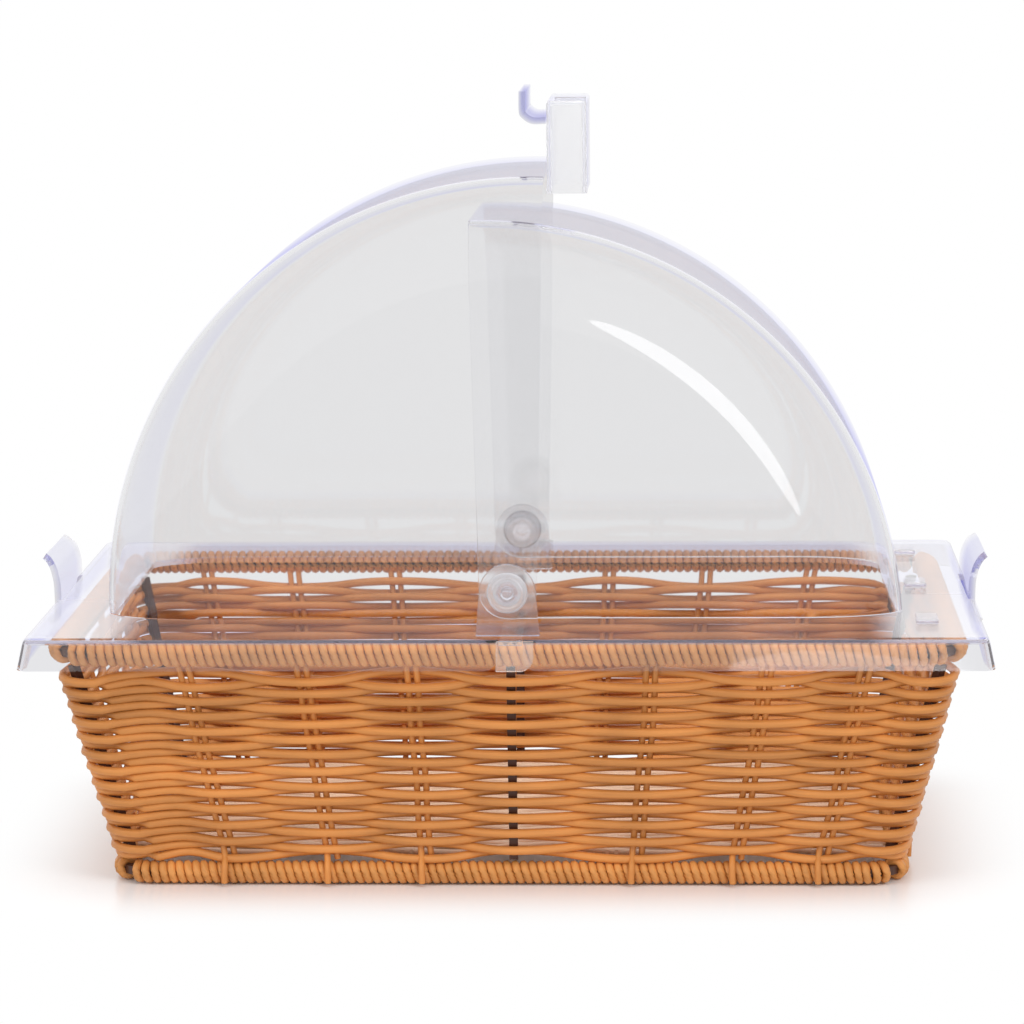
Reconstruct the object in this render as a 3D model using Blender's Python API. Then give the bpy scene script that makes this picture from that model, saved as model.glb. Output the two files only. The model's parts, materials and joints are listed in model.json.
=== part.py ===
"""Countertop bread display bin: a woven basket with a clear roll-top cover in two halves.

Metres, +Z up.  The origin is at the middle of the object, on the surface that it stands on.
The front, where the photograph was taken from, faces -Y.  Both halves of the cover turn on one
axis along Y: the outer half lies on the left (-X) and the inner half on the right (+X).
"""

import math

import bmesh
import bpy
from mathutils import Matrix, Vector

# Room between two pieces that touch on the real object
GAP = 0.0003
# How far a cutter runs past what it cuts
OVERRUN = 0.004
# How far two shapes that are joined run into each other
BITE = 0.001

# Basket: outside sizes at the rim and at the foot
RIM_LENGTH = 0.531
RIM_WIDTH = 0.326
RIM_CORNER = 0.030
BASKET_HEIGHT = 0.1505
RIM_WRAP_HEIGHT = 0.0158
RIM_WRAP_WIDTH = 0.0150
BASE_LENGTH = 0.469
BASE_WIDTH = 0.264
BASE_CORNER = 0.026
FOOT_WRAP_HEIGHT = 0.0150
FOOT_WRAP_WIDTH = 0.0140
FOOT_CUT = 0.0005
WALL_THICK = 0.0080
WALL_INSET_FOOT = 0.0020
WALL_INSET_RIM = 0.0050
FLOOR_THICK = 0.0050

# Steel frame of the basket: a ring inside each wound edge, and posts that stand in the weave
POST_WIDTH = 0.0050
POST_DEPTH = 0.0060
RING_WIDTH = 0.0050

# Weave of the wall: rows of strand that pass in front of the stakes and behind them by turns
ROW_PITCH = 0.0049
STRAND = 0.0047
FIRST_ROW_SHARE = 0.7
LAST_ROW_SHARE = 0.8
RELIEF = 0.0050
POST_CLEAR = 0.0200
ROW_DIP = 0.0012
TOP_ROW_DIP = 0.0030
DIP_ROWS = 2
DIP_SHARE = 0.8
# Places of the stakes as shares of a straight side, from its left end as seen from outside
LONG_STAKE_SHARES = (0.108, 0.252, 0.385, 0.507, 0.679, 0.819, 0.938)
SHORT_STAKE_SHARES = (0.2, 0.5, 0.8)
POST_SHARE = 0.507
CORNER_SHARES = (0.0, 0.25, 0.5, 0.75)
CORNER_STAKE_SHARE = 0.5

# Weave of the floor: strands along X over stakes along Y
FLOOR_PITCH = 0.0048
FLOOR_STAKE_STEP = 0.0600
FLOOR_WAVE = 0.0009
FLOOR_GROOVE = 0.0020

# Cover: half flanges with a flared skirt
FLANGE_OVERHANG = 0.0095
FLANGE_THICK = 0.0030
# Room that a half flange keeps for the ribs and the handle beyond the foot of its hood
LEDGE_LEAST = 0.0220
FLANGE_CORNER = 0.0080
SKIRT_DROP = 0.0170
SKIRT_FLARE = 0.0035
SKIRT_CORNER = 0.0080
OUTER_FLANGE_END = 0.0030
INNER_FLANGE_END = 0.0110
FLANGE_RECESS = 0.0193
FLANGE_STRIP = 0.0545
RIB_LENGTH = 0.0130
RIB_WIDTH = 0.0200
RIB_HEIGHT = 0.0040
RIB_STEP = 0.1180
RIB_OFFSET = 0.0040

# Cover: hoods, each an arc whose centre lies past the hinge axis
SHELL_THICK = 0.0030
HOOD_SETBACK = 0.0615
FILLET_RADIAL = 0.0360
FILLET_DEPTH = 0.0250
AXIS_HEIGHT = 0.0173
OUTER_REACH = 0.2370
OUTER_CROWN = 0.2390
OUTER_SHIFT = 0.0120
INNER_REACH = 0.2320
INNER_CROWN = 0.2135
INNER_SHIFT = 0.0160
NEST_GAP = 0.0015
EDGE_LEAN = 0.0050

# Hinge: clip bracket, stud, washer and cap
EAR_RADIUS = 0.0165
EAR_FLARE = 0.0022
EAR_THICK = 0.0040
EAR_DROP = 0.0087
ARM_LEFT = 0.0027
ARM_RIGHT = 0.0107
TONGUE_LEFT = 0.0042
TONGUE_RIGHT = 0.0173
TONGUE_THICK = 0.0020
TONGUE_ROOM = 0.0010
STUD_RADIUS = 0.0057
HEAD_RADIUS = 0.0120
HEAD_THICK = 0.0030
HEAD_RING = 0.0090
HEAD_HUB = 0.0036
HEAD_STEP = 0.0008
WASHER_RADIUS = 0.0100
WASHER_THICK = 0.0010
CAP_RADIUS = 0.0095
CAP_DEPTH = 0.0042
CAP_EDGE = 0.0010
STUD_TAIL = 0.0028

# End handles: a strip that stands in a notch of the flange and curls outwards at both ends
HANDLE_LENGTH = 0.0850
HANDLE_THICK = 0.0040
HANDLE_INSET = 0.0010
HANDLE_CORNER = 0.0150
HANDLE_FOOT_DROP = 0.0140
HANDLE_FOOT_REACH = 0.0055
HANDLE_FOOT_BEND = 0.0070
HANDLE_LIP_RISE = 0.0255
HANDLE_LIP_REACH = 0.0085
HANDLE_LIP_BEND = 0.0140

# Top grip at the crown of the outer hood
GRIP_WIDTH = 0.0237
GRIP_WALL = 0.0030
GRIP_SKIRT = 0.0135
GRIP_RISE = 0.0410
HOOK_LEVEL = 0.0115
HOOK_REACH = 0.0142
HOOK_RISE = 0.0170
HOOK_BEND = 0.0060

# Roundness
CORNER_STEPS = 6
ARC_STEPS = 88
FILLET_STEPS = 6
WRAP_STEPS = 12
ROUND_STEPS = 28
CURVE_STEPS = 3
SMOOTH_ANGLE = 35

# Places worked out from the sizes above
rim_x = RIM_LENGTH / 2
rim_y = RIM_WIDTH / 2
base_x = BASE_LENGTH / 2
base_y = BASE_WIDTH / 2
flange_x = max(rim_x + FLANGE_OVERHANG, OUTER_REACH + LEDGE_LEAST, INNER_REACH + LEDGE_LEAST)
flange_y = rim_y + FLANGE_OVERHANG
flange_under = BASKET_HEIGHT + GAP
flange_top = flange_under + FLANGE_THICK
skirt_low = flange_top - SKIRT_DROP
axis_z = flange_top + AXIS_HEIGHT
hood_low = flange_top + GAP
lobe_radius = axis_z - hood_low
outer_wall_y = flange_y - HOOD_SETBACK
inner_wall_y = outer_wall_y - SHELL_THICK - NEST_GAP
inner_face_y = inner_wall_y - SHELL_THICK
outer_radius = OUTER_REACH + OUTER_SHIFT
inner_radius = INNER_REACH + INNER_SHIFT
outer_arc_z = axis_z + OUTER_CROWN - outer_radius
inner_arc_z = axis_z + INNER_CROWN - inner_radius
ear_back_y = outer_wall_y + GAP
ear_front_y = ear_back_y + EAR_THICK
crown_z = axis_z + OUTER_CROWN
bore_radius = STUD_RADIUS + GAP
wall_high = BASKET_HEIGHT - RIM_WRAP_HEIGHT - GAP
wall_low = FOOT_WRAP_HEIGHT - FOOT_CUT + GAP
handle_x = flange_x - HANDLE_INSET
notch_x = handle_x - HANDLE_THICK / 2 - GAP
notch_y = HANDLE_LENGTH / 2 + GAP
axis_point = (0.0, 0.0, axis_z)


def clear_scene():
    """Remove whatever the file holds, so that the script can run again."""
    for item in list(bpy.data.objects):
        bpy.data.objects.remove(item, do_unlink=True)
    for mesh in list(bpy.data.meshes):
        bpy.data.meshes.remove(mesh)
    for look in list(bpy.data.materials):
        bpy.data.materials.remove(look)


def make_look(name, colour, roughness, alpha=1.0):
    """A Principled material of one colour."""
    look = bpy.data.materials.new(name)
    look.use_nodes = True
    shader = look.node_tree.nodes["Principled BSDF"]
    shader.inputs["Base Color"].default_value = (*colour, 1.0)
    shader.inputs["Roughness"].default_value = roughness
    shader.inputs["Alpha"].default_value = alpha
    return look


def finish(name, mesh, look, origin=(0.0, 0.0, 0.0), carrier=None):
    """Turn a bmesh into a named object whose origin lies at a given point."""
    bmesh.ops.recalc_face_normals(mesh, faces=mesh.faces)
    bmesh.ops.translate(mesh, verts=mesh.verts, vec=-Vector(origin))
    data = bpy.data.meshes.new(name)
    mesh.to_mesh(data)
    mesh.free()
    data.shade_smooth()
    data.set_sharp_from_angle(angle=math.radians(SMOOTH_ANGLE))
    own_look = look.copy()
    own_look.name = name + "_look"
    data.materials.append(own_look)
    made = bpy.data.objects.new(name, data)
    made.location = origin
    bpy.context.scene.collection.objects.link(made)
    if carrier is not None:
        made.parent = carrier
        made.matrix_parent_inverse = Matrix.Translation(-carrier.location)
    return made


def combine(target, operation, word, mesh):
    """Shape an object with a helper solid through an exact Boolean modifier."""
    tool = finish(target.name + "_" + word, mesh, tool_look)
    tool.hide_render = True
    tool.display_type = "WIRE"
    step = target.modifiers.new(word, "BOOLEAN")
    step.operation = operation
    step.solver = "EXACT"
    step.object = tool


def make_carrier(name):
    """An empty on the hinge axis, which carries a half of the cover."""
    made = bpy.data.objects.new(name, None)
    made.location = axis_point
    bpy.context.scene.collection.objects.link(made)
    return made


def rounded_outline(half_x, half_y, corner):
    """Points of a rectangle with round corners, counter-clockwise."""
    points = []
    for side_x, side_y, start in ((1, 1, 0), (-1, 1, 90), (-1, -1, 180), (1, -1, 270)):
        middle = (side_x * (half_x - corner), side_y * (half_y - corner))
        points += arc_points(middle, corner, corner, start, start + 90, CORNER_STEPS)
    return points


def arc_points(middle, across, along, start, end, steps):
    """Points on part of an ellipse, both ends included, with angles in degrees."""
    points = []
    for index in range(steps + 1):
        angle = math.radians(start + (end - start) * index / steps)
        points.append((middle[0] + across * math.cos(angle), middle[1] + along * math.sin(angle)))
    return points


def loft(levels, closed):
    """Join rounded rectangles given as (half_x, half_y, corner, z).

    A closed loft is a ring.  An open one is capped on its first and last rectangle.
    """
    mesh = bmesh.new()
    loops = []
    for half_x, half_y, corner, z in levels:
        loops.append([mesh.verts.new((x, y, z)) for x, y in rounded_outline(half_x, half_y, corner)])
    pairs = list(zip(loops, loops[1:]))
    if closed:
        pairs.append((loops[-1], loops[0]))
    for lower, upper in pairs:
        for index, vert in enumerate(lower):
            mesh.faces.new((lower[index - 1], vert, upper[index], upper[index - 1]))
    if not closed:
        mesh.faces.new(loops[0])
        mesh.faces.new(loops[-1])
    return mesh


def prism(points, start, end, axis):
    """Extrude an outline along X (points are y, z), along Y (x, z) or along Z (x, y)."""
    mesh = bmesh.new()
    rings = []
    for level in (start, end):
        ring = []
        for first, second in points:
            spot = {"X": (level, first, second), "Y": (first, level, second), "Z": (first, second, level)}
            ring.append(mesh.verts.new(spot[axis]))
        rings.append(ring)
        mesh.faces.new(ring)
    for index in range(len(points)):
        mesh.faces.new((rings[0][index - 1], rings[0][index], rings[1][index], rings[1][index - 1]))
    return mesh


def box(xs, ys, zs):
    """A block between pairs of positions, given in any order."""
    low_x, high_x = sorted(xs)
    low_z, high_z = sorted(zs)
    outline = [(low_x, low_z), (high_x, low_z), (high_x, high_z), (low_x, high_z)]
    return prism(outline, min(ys), max(ys), "Y")


def turned(profile, middle, steps):
    """Spin a profile of (radius, y) about a line along Y, and close its two ends."""
    mesh = bmesh.new()
    verts = [mesh.verts.new((middle[0] + radius, y, middle[1])) for radius, y in profile]
    edges = [mesh.edges.new(pair) for pair in zip(verts, verts[1:])]
    bmesh.ops.spin(mesh, geom=verts + edges, cent=(middle[0], 0.0, middle[1]), axis=(0, 1, 0),
                   angle=math.tau, steps=steps, use_merge=True)
    bmesh.ops.holes_fill(mesh, edges=mesh.edges, sides=0)
    return mesh


def fitting(profile, front):
    """Spin a small hinge piece about the hinge axis, at the front (-1) or at the back (1)."""
    return turned([(radius, front * y) for radius, y in profile], (0.0, axis_z), ROUND_STEPS)


def hinge_bore():
    """The hole through every wall that the studs pass."""
    return fitting([(bore_radius, -flange_y), (bore_radius, flange_y)], 1)


def hood_profile(radius, half_depth, across, along):
    """Side profile of a hood's round body: flat, round corner, crown, round corner, flat."""
    profile = arc_points((radius - across, along - half_depth), across, along, -90, 0, FILLET_STEPS)
    profile += arc_points((radius - across, half_depth - along), across, along, 0, 90, FILLET_STEPS)
    return profile


def hood_keep(side):
    """What is kept of a hood, seen from the front: side is -1 on the left and 1 on the right."""
    far = flange_x
    high = crown_z + OVERRUN
    lean = lobe_radius + EDGE_LEAN * (high - axis_z) / OUTER_CROWN
    points = [(-far, hood_low)]
    points += arc_points((0.0, axis_z), lobe_radius, lobe_radius, -90, 0, CORNER_STEPS)
    points += [(lean, high), (-far, high)]
    return prism([(-side * x, z) for x, z in points], -flange_y, flange_y, "Y")


def make_hood(name, side, shift, arc_z, radius, wall_y, look, carrier):
    """A quarter of a round body with soft corners, hollow and open below and at the middle."""
    middle = (-side * shift, arc_z)
    body = hood_profile(radius, wall_y, FILLET_RADIAL, FILLET_DEPTH)
    hood = finish(name, turned(body, middle, ARC_STEPS), look, axis_point, carrier)
    room = hood_profile(radius - SHELL_THICK, wall_y - SHELL_THICK,
                        FILLET_RADIAL - SHELL_THICK, FILLET_DEPTH - SHELL_THICK)
    combine(hood, "INTERSECT", "keep", hood_keep(side))
    combine(hood, "DIFFERENCE", "room", turned(room, middle, ARC_STEPS))
    combine(hood, "DIFFERENCE", "bore", hinge_bore())


def flange_opening(side, shift, arc_z, radius, wall_y):
    """The hole in a half flange: the room for the hinge and the hood's inside, from above."""
    room = hood_profile(radius - SHELL_THICK, wall_y - SHELL_THICK,
                        FILLET_RADIAL - SHELL_THICK, FILLET_DEPTH - SHELL_THICK)
    strip_y = flange_y - FLANGE_STRIP
    room_y = wall_y - SHELL_THICK
    points = [(-OVERRUN, -strip_y), (FLANGE_RECESS, -strip_y), (FLANGE_RECESS, -room_y)]
    for reach, y in room:
        points.append((math.sqrt(reach ** 2 - (arc_z - hood_low) ** 2) - shift, y))
    points += [(FLANGE_RECESS, room_y), (FLANGE_RECESS, strip_y), (-OVERRUN, strip_y)]
    outline = [(side * x, y) for x, y in points]
    return prism(outline, flange_under - OVERRUN, flange_top + OVERRUN, "Z")


def make_flange(name, side, end, opening, look, carrier):
    """A half flange with its flared skirt, cut out for the hinge, the hood and the handle."""
    inner_x = flange_x - FLANGE_THICK
    inner_y = flange_y - FLANGE_THICK
    inner_corner = FLANGE_CORNER - FLANGE_THICK
    levels = [
        (flange_x, flange_y, FLANGE_CORNER, flange_top),
        (flange_x + SKIRT_FLARE, flange_y + SKIRT_FLARE, FLANGE_CORNER, skirt_low),
        (inner_x + SKIRT_FLARE, inner_y + SKIRT_FLARE, inner_corner, skirt_low),
        (inner_x, inner_y, inner_corner, flange_under),
    ]
    flange = finish(name, loft(levels, closed=False), look, axis_point, carrier)
    far = flange_x + SKIRT_FLARE + OVERRUN
    deep = flange_y + SKIRT_FLARE + OVERRUN
    turn = (end + SKIRT_CORNER, skirt_low + SKIRT_CORNER)
    points = arc_points(turn, SKIRT_CORNER, SKIRT_CORNER, 180, 270, CORNER_STEPS)
    points[-1] = (turn[0], skirt_low - OVERRUN)
    points += [(far, skirt_low - OVERRUN), (far, flange_top + OVERRUN), (end, flange_top + OVERRUN)]
    keep = prism([(side * x, z) for x, z in points], -deep, deep, "Y")
    combine(flange, "INTERSECT", "keep", keep)
    combine(flange, "DIFFERENCE", "opening", opening)
    heights = (skirt_low - OVERRUN, flange_top + OVERRUN)
    combine(flange, "DIFFERENCE", "notch", box((side * notch_x, side * far), (-notch_y, notch_y), heights))
    return flange


def add_ribs(flange):
    """Three low ribs on the inner half flange, beside the foot of its hood."""
    start = INNER_REACH + RIB_OFFSET
    for index, word in enumerate(("rib_front", "rib_middle", "rib_back")):
        y = (index - 1) * RIB_STEP
        rib = box((start, start + RIB_LENGTH), (y - RIB_WIDTH / 2, y + RIB_WIDTH / 2),
                  (flange_top - BITE, flange_top + RIB_HEIGHT))
        combine(flange, "UNION", word, rib)


def smooth_path(points):
    """A smooth curve through a few points."""
    padded = [points[0], *points, points[-1]]
    result = []
    for index in range(1, len(padded) - 2):
        before, start, end, after = [Vector(padded[index + shift]) for shift in (-1, 0, 1, 2)]
        for step in range(CURVE_STEPS):
            along = step / CURVE_STEPS
            lead = (end - before) / 2
            tail = (after - start) / 2
            sag = (start - end) * 2 + lead + tail
            bend = (end - start) * 3 - lead * 2 - tail
            result.append(start + lead * along + bend * along ** 2 + sag * along ** 3)
    result.append(Vector(points[-1]))
    return result


def strip_outline(path, thick):
    """A band of even thickness along a path."""
    lefts = []
    rights = []
    for index, point in enumerate(path):
        before = path[max(index - 1, 0)]
        after = path[min(index + 1, len(path) - 1)]
        along = (after - before).normalized()
        across = Vector((-along.y, along.x)) * thick / 2
        lefts.append(tuple(point + across))
        rights.append(tuple(point - across))
    return lefts + rights[::-1]


def make_end_handle(name, side, look, carrier):
    """A handle at an end of the flange: foot, upright web and lip, with round upper corners."""
    half = HANDLE_LENGTH / 2
    lip = flange_top + HANDLE_LIP_RISE
    foot = flange_top - HANDLE_FOOT_DROP
    path = smooth_path([
        (handle_x + HANDLE_FOOT_REACH, foot),
        (handle_x + HANDLE_FOOT_REACH / 5, foot + HANDLE_FOOT_BEND / 2),
        (handle_x, foot + HANDLE_FOOT_BEND),
        (handle_x, lip - HANDLE_LIP_BEND),
        (handle_x + HANDLE_LIP_REACH / 5, lip - HANDLE_LIP_BEND / 2),
        (handle_x + HANDLE_LIP_REACH, lip),
    ])
    outline = strip_outline(path, HANDLE_THICK)
    mesh = prism([(side * x, z) for x, z in outline], -half, half, "Y")
    handle = finish(name, mesh, look, axis_point, carrier)
    high = max(z for x, z in outline) + GAP
    low = skirt_low - OVERRUN
    deep = half + OVERRUN
    corner_y = half - HANDLE_CORNER
    corner_z = high - HANDLE_CORNER
    points = [(-deep, low), (deep, low), (deep, corner_z)]
    points += arc_points((corner_y, corner_z), HANDLE_CORNER, HANDLE_CORNER, 0, 90, CORNER_STEPS)
    points += arc_points((-corner_y, corner_z), HANDLE_CORNER, HANDLE_CORNER, 90, 180, CORNER_STEPS)
    points.append((-deep, corner_z))
    near = side * (handle_x - HANDLE_THICK)
    far = side * (handle_x + HANDLE_LIP_REACH + HANDLE_THICK)
    combine(handle, "INTERSECT", "corners", prism(points, near, far, "X"))


def make_top_grip(look, carrier):
    """The grip at the crown: a box open below, with a hook towards the left."""
    left = lobe_radius + EDGE_LEAN + GAP
    right = left + GRIP_WIDTH
    low = crown_z - GRIP_SKIRT
    high = crown_z + GRIP_RISE
    half = HANDLE_LENGTH / 2
    grip = finish("top_grip", box((left, right), (-half, half), (low, high)), look, axis_point, carrier)
    room = box((left + GRIP_WALL, right - GRIP_WALL), (GRIP_WALL - half, half - GRIP_WALL),
               (low - OVERRUN, high - GRIP_WALL))
    combine(grip, "DIFFERENCE", "room", room)
    level = high - HOOK_LEVEL
    tip = left - HOOK_REACH
    path = smooth_path([
        (left + BITE, level),
        (tip + HOOK_BEND, level),
        (tip + HOOK_BEND / 5, level + HOOK_BEND / 2),
        (tip, level + HOOK_BEND),
        (tip, level + HOOK_RISE),
    ])
    hook_half = half - BITE / 2
    combine(grip, "UNION", "hook", prism(strip_outline(path, HANDLE_THICK), -hook_half, hook_half, "Y"))


def make_bracket(name, front, look):
    """The clear bracket that clips over the rim: an ear, an arm and a tongue."""
    low = flange_top - EAR_DROP
    foot = EAR_RADIUS + EAR_FLARE
    points = [(-foot, low), (foot, low)]
    points += arc_points((0.0, axis_z), EAR_RADIUS, EAR_RADIUS, 0, 180, CORNER_STEPS * 2)
    bracket = finish(name, prism(points, front * ear_back_y, front * ear_front_y, "Y"), look)
    combine(bracket, "DIFFERENCE", "bore", hinge_bore())
    tongue_y = flange_y + TONGUE_ROOM
    arm = box((-ARM_LEFT, ARM_RIGHT), (front * (ear_front_y - BITE), front * (tongue_y + BITE)),
              (flange_under, flange_top))
    combine(bracket, "UNION", "arm", arm)
    points = [(-TONGUE_LEFT, flange_top), (-TONGUE_LEFT, skirt_low)]
    turn = (TONGUE_RIGHT - SKIRT_CORNER, skirt_low + SKIRT_CORNER)
    points += arc_points(turn, SKIRT_CORNER, SKIRT_CORNER, 270, 360, CORNER_STEPS)
    points.append((TONGUE_RIGHT, flange_top))
    tongue = prism(points, tongue_y, tongue_y + TONGUE_THICK, "Y")
    for vert in tongue.verts:
        vert.co.y += SKIRT_FLARE * (flange_top - vert.co.z) / SKIRT_DROP
        vert.co.y *= front
    combine(bracket, "UNION", "tongue", tongue)


def make_hinge(word, front, look):
    """The stud through the ear and both hoods, and the washer and cap on its tail."""
    head_y = ear_front_y + GAP
    face_y = head_y + HEAD_THICK
    floor_y = face_y - HEAD_STEP
    washer_y = inner_face_y - GAP
    cap_y = washer_y - WASHER_THICK - GAP
    tail_y = cap_y - STUD_TAIL
    stud = [(STUD_RADIUS, tail_y), (STUD_RADIUS, head_y), (HEAD_RADIUS, head_y),
            (HEAD_RADIUS, floor_y), (HEAD_RADIUS - HEAD_STEP, face_y), (HEAD_RING, face_y),
            (HEAD_RING - HEAD_STEP, floor_y), (STUD_RADIUS, floor_y), (STUD_RADIUS - HEAD_STEP, face_y),
            (HEAD_HUB, face_y), (HEAD_HUB - HEAD_STEP, floor_y)]
    finish("hinge_stud_" + word, fitting(stud, front), look, axis_point)
    blank = [(WASHER_RADIUS, washer_y - WASHER_THICK), (WASHER_RADIUS, washer_y)]
    washer = finish("hinge_washer_" + word, fitting(blank, front), look, axis_point)
    combine(washer, "DIFFERENCE", "bore", hinge_bore())
    cap = [(CAP_RADIUS - CAP_EDGE, cap_y - CAP_DEPTH), (CAP_RADIUS, cap_y - CAP_DEPTH + CAP_EDGE),
           (CAP_RADIUS, cap_y)]
    made = finish("hinge_cap_" + word, fitting(cap, front), look, axis_point)
    well = [(bore_radius, tail_y - GAP), (bore_radius, cap_y + OVERRUN)]
    combine(made, "DIFFERENCE", "well", fitting(well, front))


def wall_size(z):
    """Half length, half width and corner radius of the wall's outside at a height."""
    share = (z - wall_low) / (wall_high - wall_low)
    inset = WALL_INSET_FOOT + (WALL_INSET_RIM - WALL_INSET_FOOT) * share
    half_x = base_x + (rim_x - base_x) * share - inset
    half_y = base_y + (rim_y - base_y) * share - inset
    corner = BASE_CORNER + (RIM_CORNER - BASE_CORNER) * share - inset
    return half_x, half_y, corner


def shrunk(size, inset, z):
    """A rounded rectangle made smaller all round, at a height."""
    return (size[0] - inset, size[1] - inset, size[2] - inset, z)


def make_wound_edge(name, size, low, high, width, cut, open_end, wrap_look, steel_look):
    """A wound edge of round section, flat below by a given cut, and the steel ring inside it.

    A groove lets the ring in from the side of the wall: open_end is the height where it opens.
    """
    middle = (low + high - cut) / 2
    tall = (high - low + cut) / 2
    reach = math.cos(math.pi / WRAP_STEPS)
    levels = []
    for index in range(WRAP_STEPS):
        angle = math.tau * (index + 0.5) / WRAP_STEPS
        inset = (1 - math.cos(angle) / reach) * width / 2
        z = middle + math.sin(angle) / reach * tall
        levels.append(shrunk(size, inset, min(max(z, low), high)))
    wrap = finish(name + "_wrap", loft(levels, closed=True), wrap_look)
    outer = (width - RING_WIDTH) / 2
    ring = band(size, outer, RING_WIDTH, middle - RING_WIDTH / 2, middle + RING_WIDTH / 2)
    finish(name + "_ring", ring, steel_look)
    room = RING_WIDTH / 2 + GAP
    closed_end = middle + math.copysign(room, middle - open_end)
    low_end, high_end = sorted((closed_end, open_end))
    combine(wrap, "DIFFERENCE", "groove", band(size, outer - GAP, RING_WIDTH + GAP * 2, low_end, high_end))


def band(size, inset, width, low, high):
    """A flat ring inside a rounded rectangle."""
    levels = [shrunk(size, inset, low), shrunk(size, inset, high),
              shrunk(size, inset + width, high), shrunk(size, inset + width, low)]
    return loft(levels, closed=True)


def ring_spot(size, place):
    """Point on a rounded rectangle.

    A place runs from 0 to 8: back, left, front and right start at even numbers, and each side is
    followed by its corner.
    """
    half_x, half_y, corner = size
    in_x = half_x - corner
    in_y = half_y - corner
    middles = ((in_x, in_y), (-in_x, in_y), (-in_x, -in_y), (in_x, -in_y))
    part = int(place)
    start = middles[part // 2 % 4]
    after = middles[(part // 2 + 1) % 4]
    along = place - part if part % 2 == 0 else 1
    out_x, out_y = outward(place)
    return (start[0] + (after[0] - start[0]) * along + out_x * corner,
            start[1] + (after[1] - start[1]) * along + out_y * corner)


def outward(place):
    """Outward direction at a place on the ring."""
    part = int(place)
    turned_share = place - part if part % 2 == 1 else 0
    angle = math.radians(90) * (1 + part // 2 + turned_share)
    return math.cos(angle), math.sin(angle)


def place_distance(place):
    """Distance along the middle of the weave from the first place to a place."""
    half_x, half_y, corner = wall_size((wall_low + wall_high) / 2)
    lengths = []
    for part in range(8):
        straight = (half_x - corner) * 2 if part % 4 == 0 else (half_y - corner) * 2
        lengths.append(straight if part % 2 == 0 else (corner - POST_DEPTH) * math.pi / 2)
    whole = int(place)
    return sum(lengths[:whole]) + lengths[whole % 8] * (place - whole)


def weave_stations():
    """Where the wall's relief is set: (place, phase, distance to the next steel post).

    The phase is a whole number at each stake.
    """
    stakes = []
    posts = []
    places = []
    for turn in range(4):
        shares = LONG_STAKE_SHARES if turn % 2 == 0 else SHORT_STAKE_SHARES
        start = turn * 2
        side_places = [start + share for share in shares]
        stakes += side_places + [start + 1 + CORNER_STAKE_SHARE]
        places += [start, *side_places] + [start + 1 + share for share in CORNER_SHARES]
        posts.append(start + 1 + CORNER_STAKE_SHARE)
        if POST_SHARE in shares:
            posts.append(start + POST_SHARE)
    around = place_distance(8)
    marks = [place_distance(stake) for stake in stakes]
    marks = [marks[-1] - around] + marks + [marks[0] + around]
    stations = []
    for place in places:
        distance = place_distance(place)
        before = max(index for index, mark in enumerate(marks) if mark <= distance)
        share = (distance - marks[before]) / (marks[before + 1] - marks[before])
        clear = min(abs(distance - place_distance(post)) for post in posts)
        stations.append((place, before - 1 + share, clear))
    return stations


def make_wall(look):
    """The woven wall as one band whose two faces carry the relief of its rows."""
    low_row = wall_low + STRAND * FIRST_ROW_SHARE
    high_row = wall_high - STRAND * LAST_ROW_SHARE
    last = round((high_row - low_row) / ROW_PITCH)
    stations = weave_stations()
    mesh = bmesh.new()
    outer_loops = []
    inner_loops = []
    for level in range(-1, last + 2):
        row = min(max(level, 0), last)
        z_row = low_row + (high_row - low_row) * row / last
        dip = ROW_DIP + TOP_ROW_DIP * math.exp((row - last) / DIP_ROWS)
        outer = []
        inner = []
        for place, phase, clear in stations:
            wave = math.cos(math.pi * (phase + row))
            back = (1 - wave) / 2
            fade = min(clear / POST_CLEAR, 1.0)
            z = z_row + dip * (back - DIP_SHARE)
            if level != row:
                back = 0.0
                z = wall_low if level < 0 else wall_high
            inside = RELIEF * back * fade if z - STRAND > wall_low + FLOOR_THICK else 0.0
            half_x, half_y, corner = wall_size(z)
            for loop, inset in ((outer, RELIEF * back), (inner, WALL_THICK + inside)):
                size = (half_x - inset, half_y - inset, corner - inset)
                loop.append(mesh.verts.new((*ring_spot(size, place), z)))
        outer_loops.append(outer)
        inner_loops.append(inner)
    loops = outer_loops + inner_loops[::-1]
    for lower, upper in zip(loops, loops[1:] + loops[:1]):
        for index, vert in enumerate(lower):
            mesh.faces.new((lower[index - 1], vert, upper[index], upper[index - 1]))
    bmesh.ops.triangulate(mesh, faces=mesh.faces)
    return finish("basket_wall", mesh, look)


def bar(place, low, high, half):
    """A square bar in the weave at a place round the wall, its faces along the wall, its ends level."""
    out_x, out_y = outward(place)
    mesh = bmesh.new()
    rings = []
    for z in (low, high):
        half_x, half_y, corner = wall_size(z)
        x, y = ring_spot((half_x - POST_DEPTH, half_y - POST_DEPTH, corner - POST_DEPTH), place)
        ring = []
        for out, side in ((-half, -half), (half, -half), (half, half), (-half, half)):
            ring.append(mesh.verts.new((x + out_x * out - out_y * side, y + out_y * out + out_x * side, z)))
        rings.append(ring)
        mesh.faces.new(ring)
    for index in range(len(rings[0])):
        mesh.faces.new((rings[0][index - 1], rings[0][index], rings[1][index], rings[1][index - 1]))
    return mesh


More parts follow.
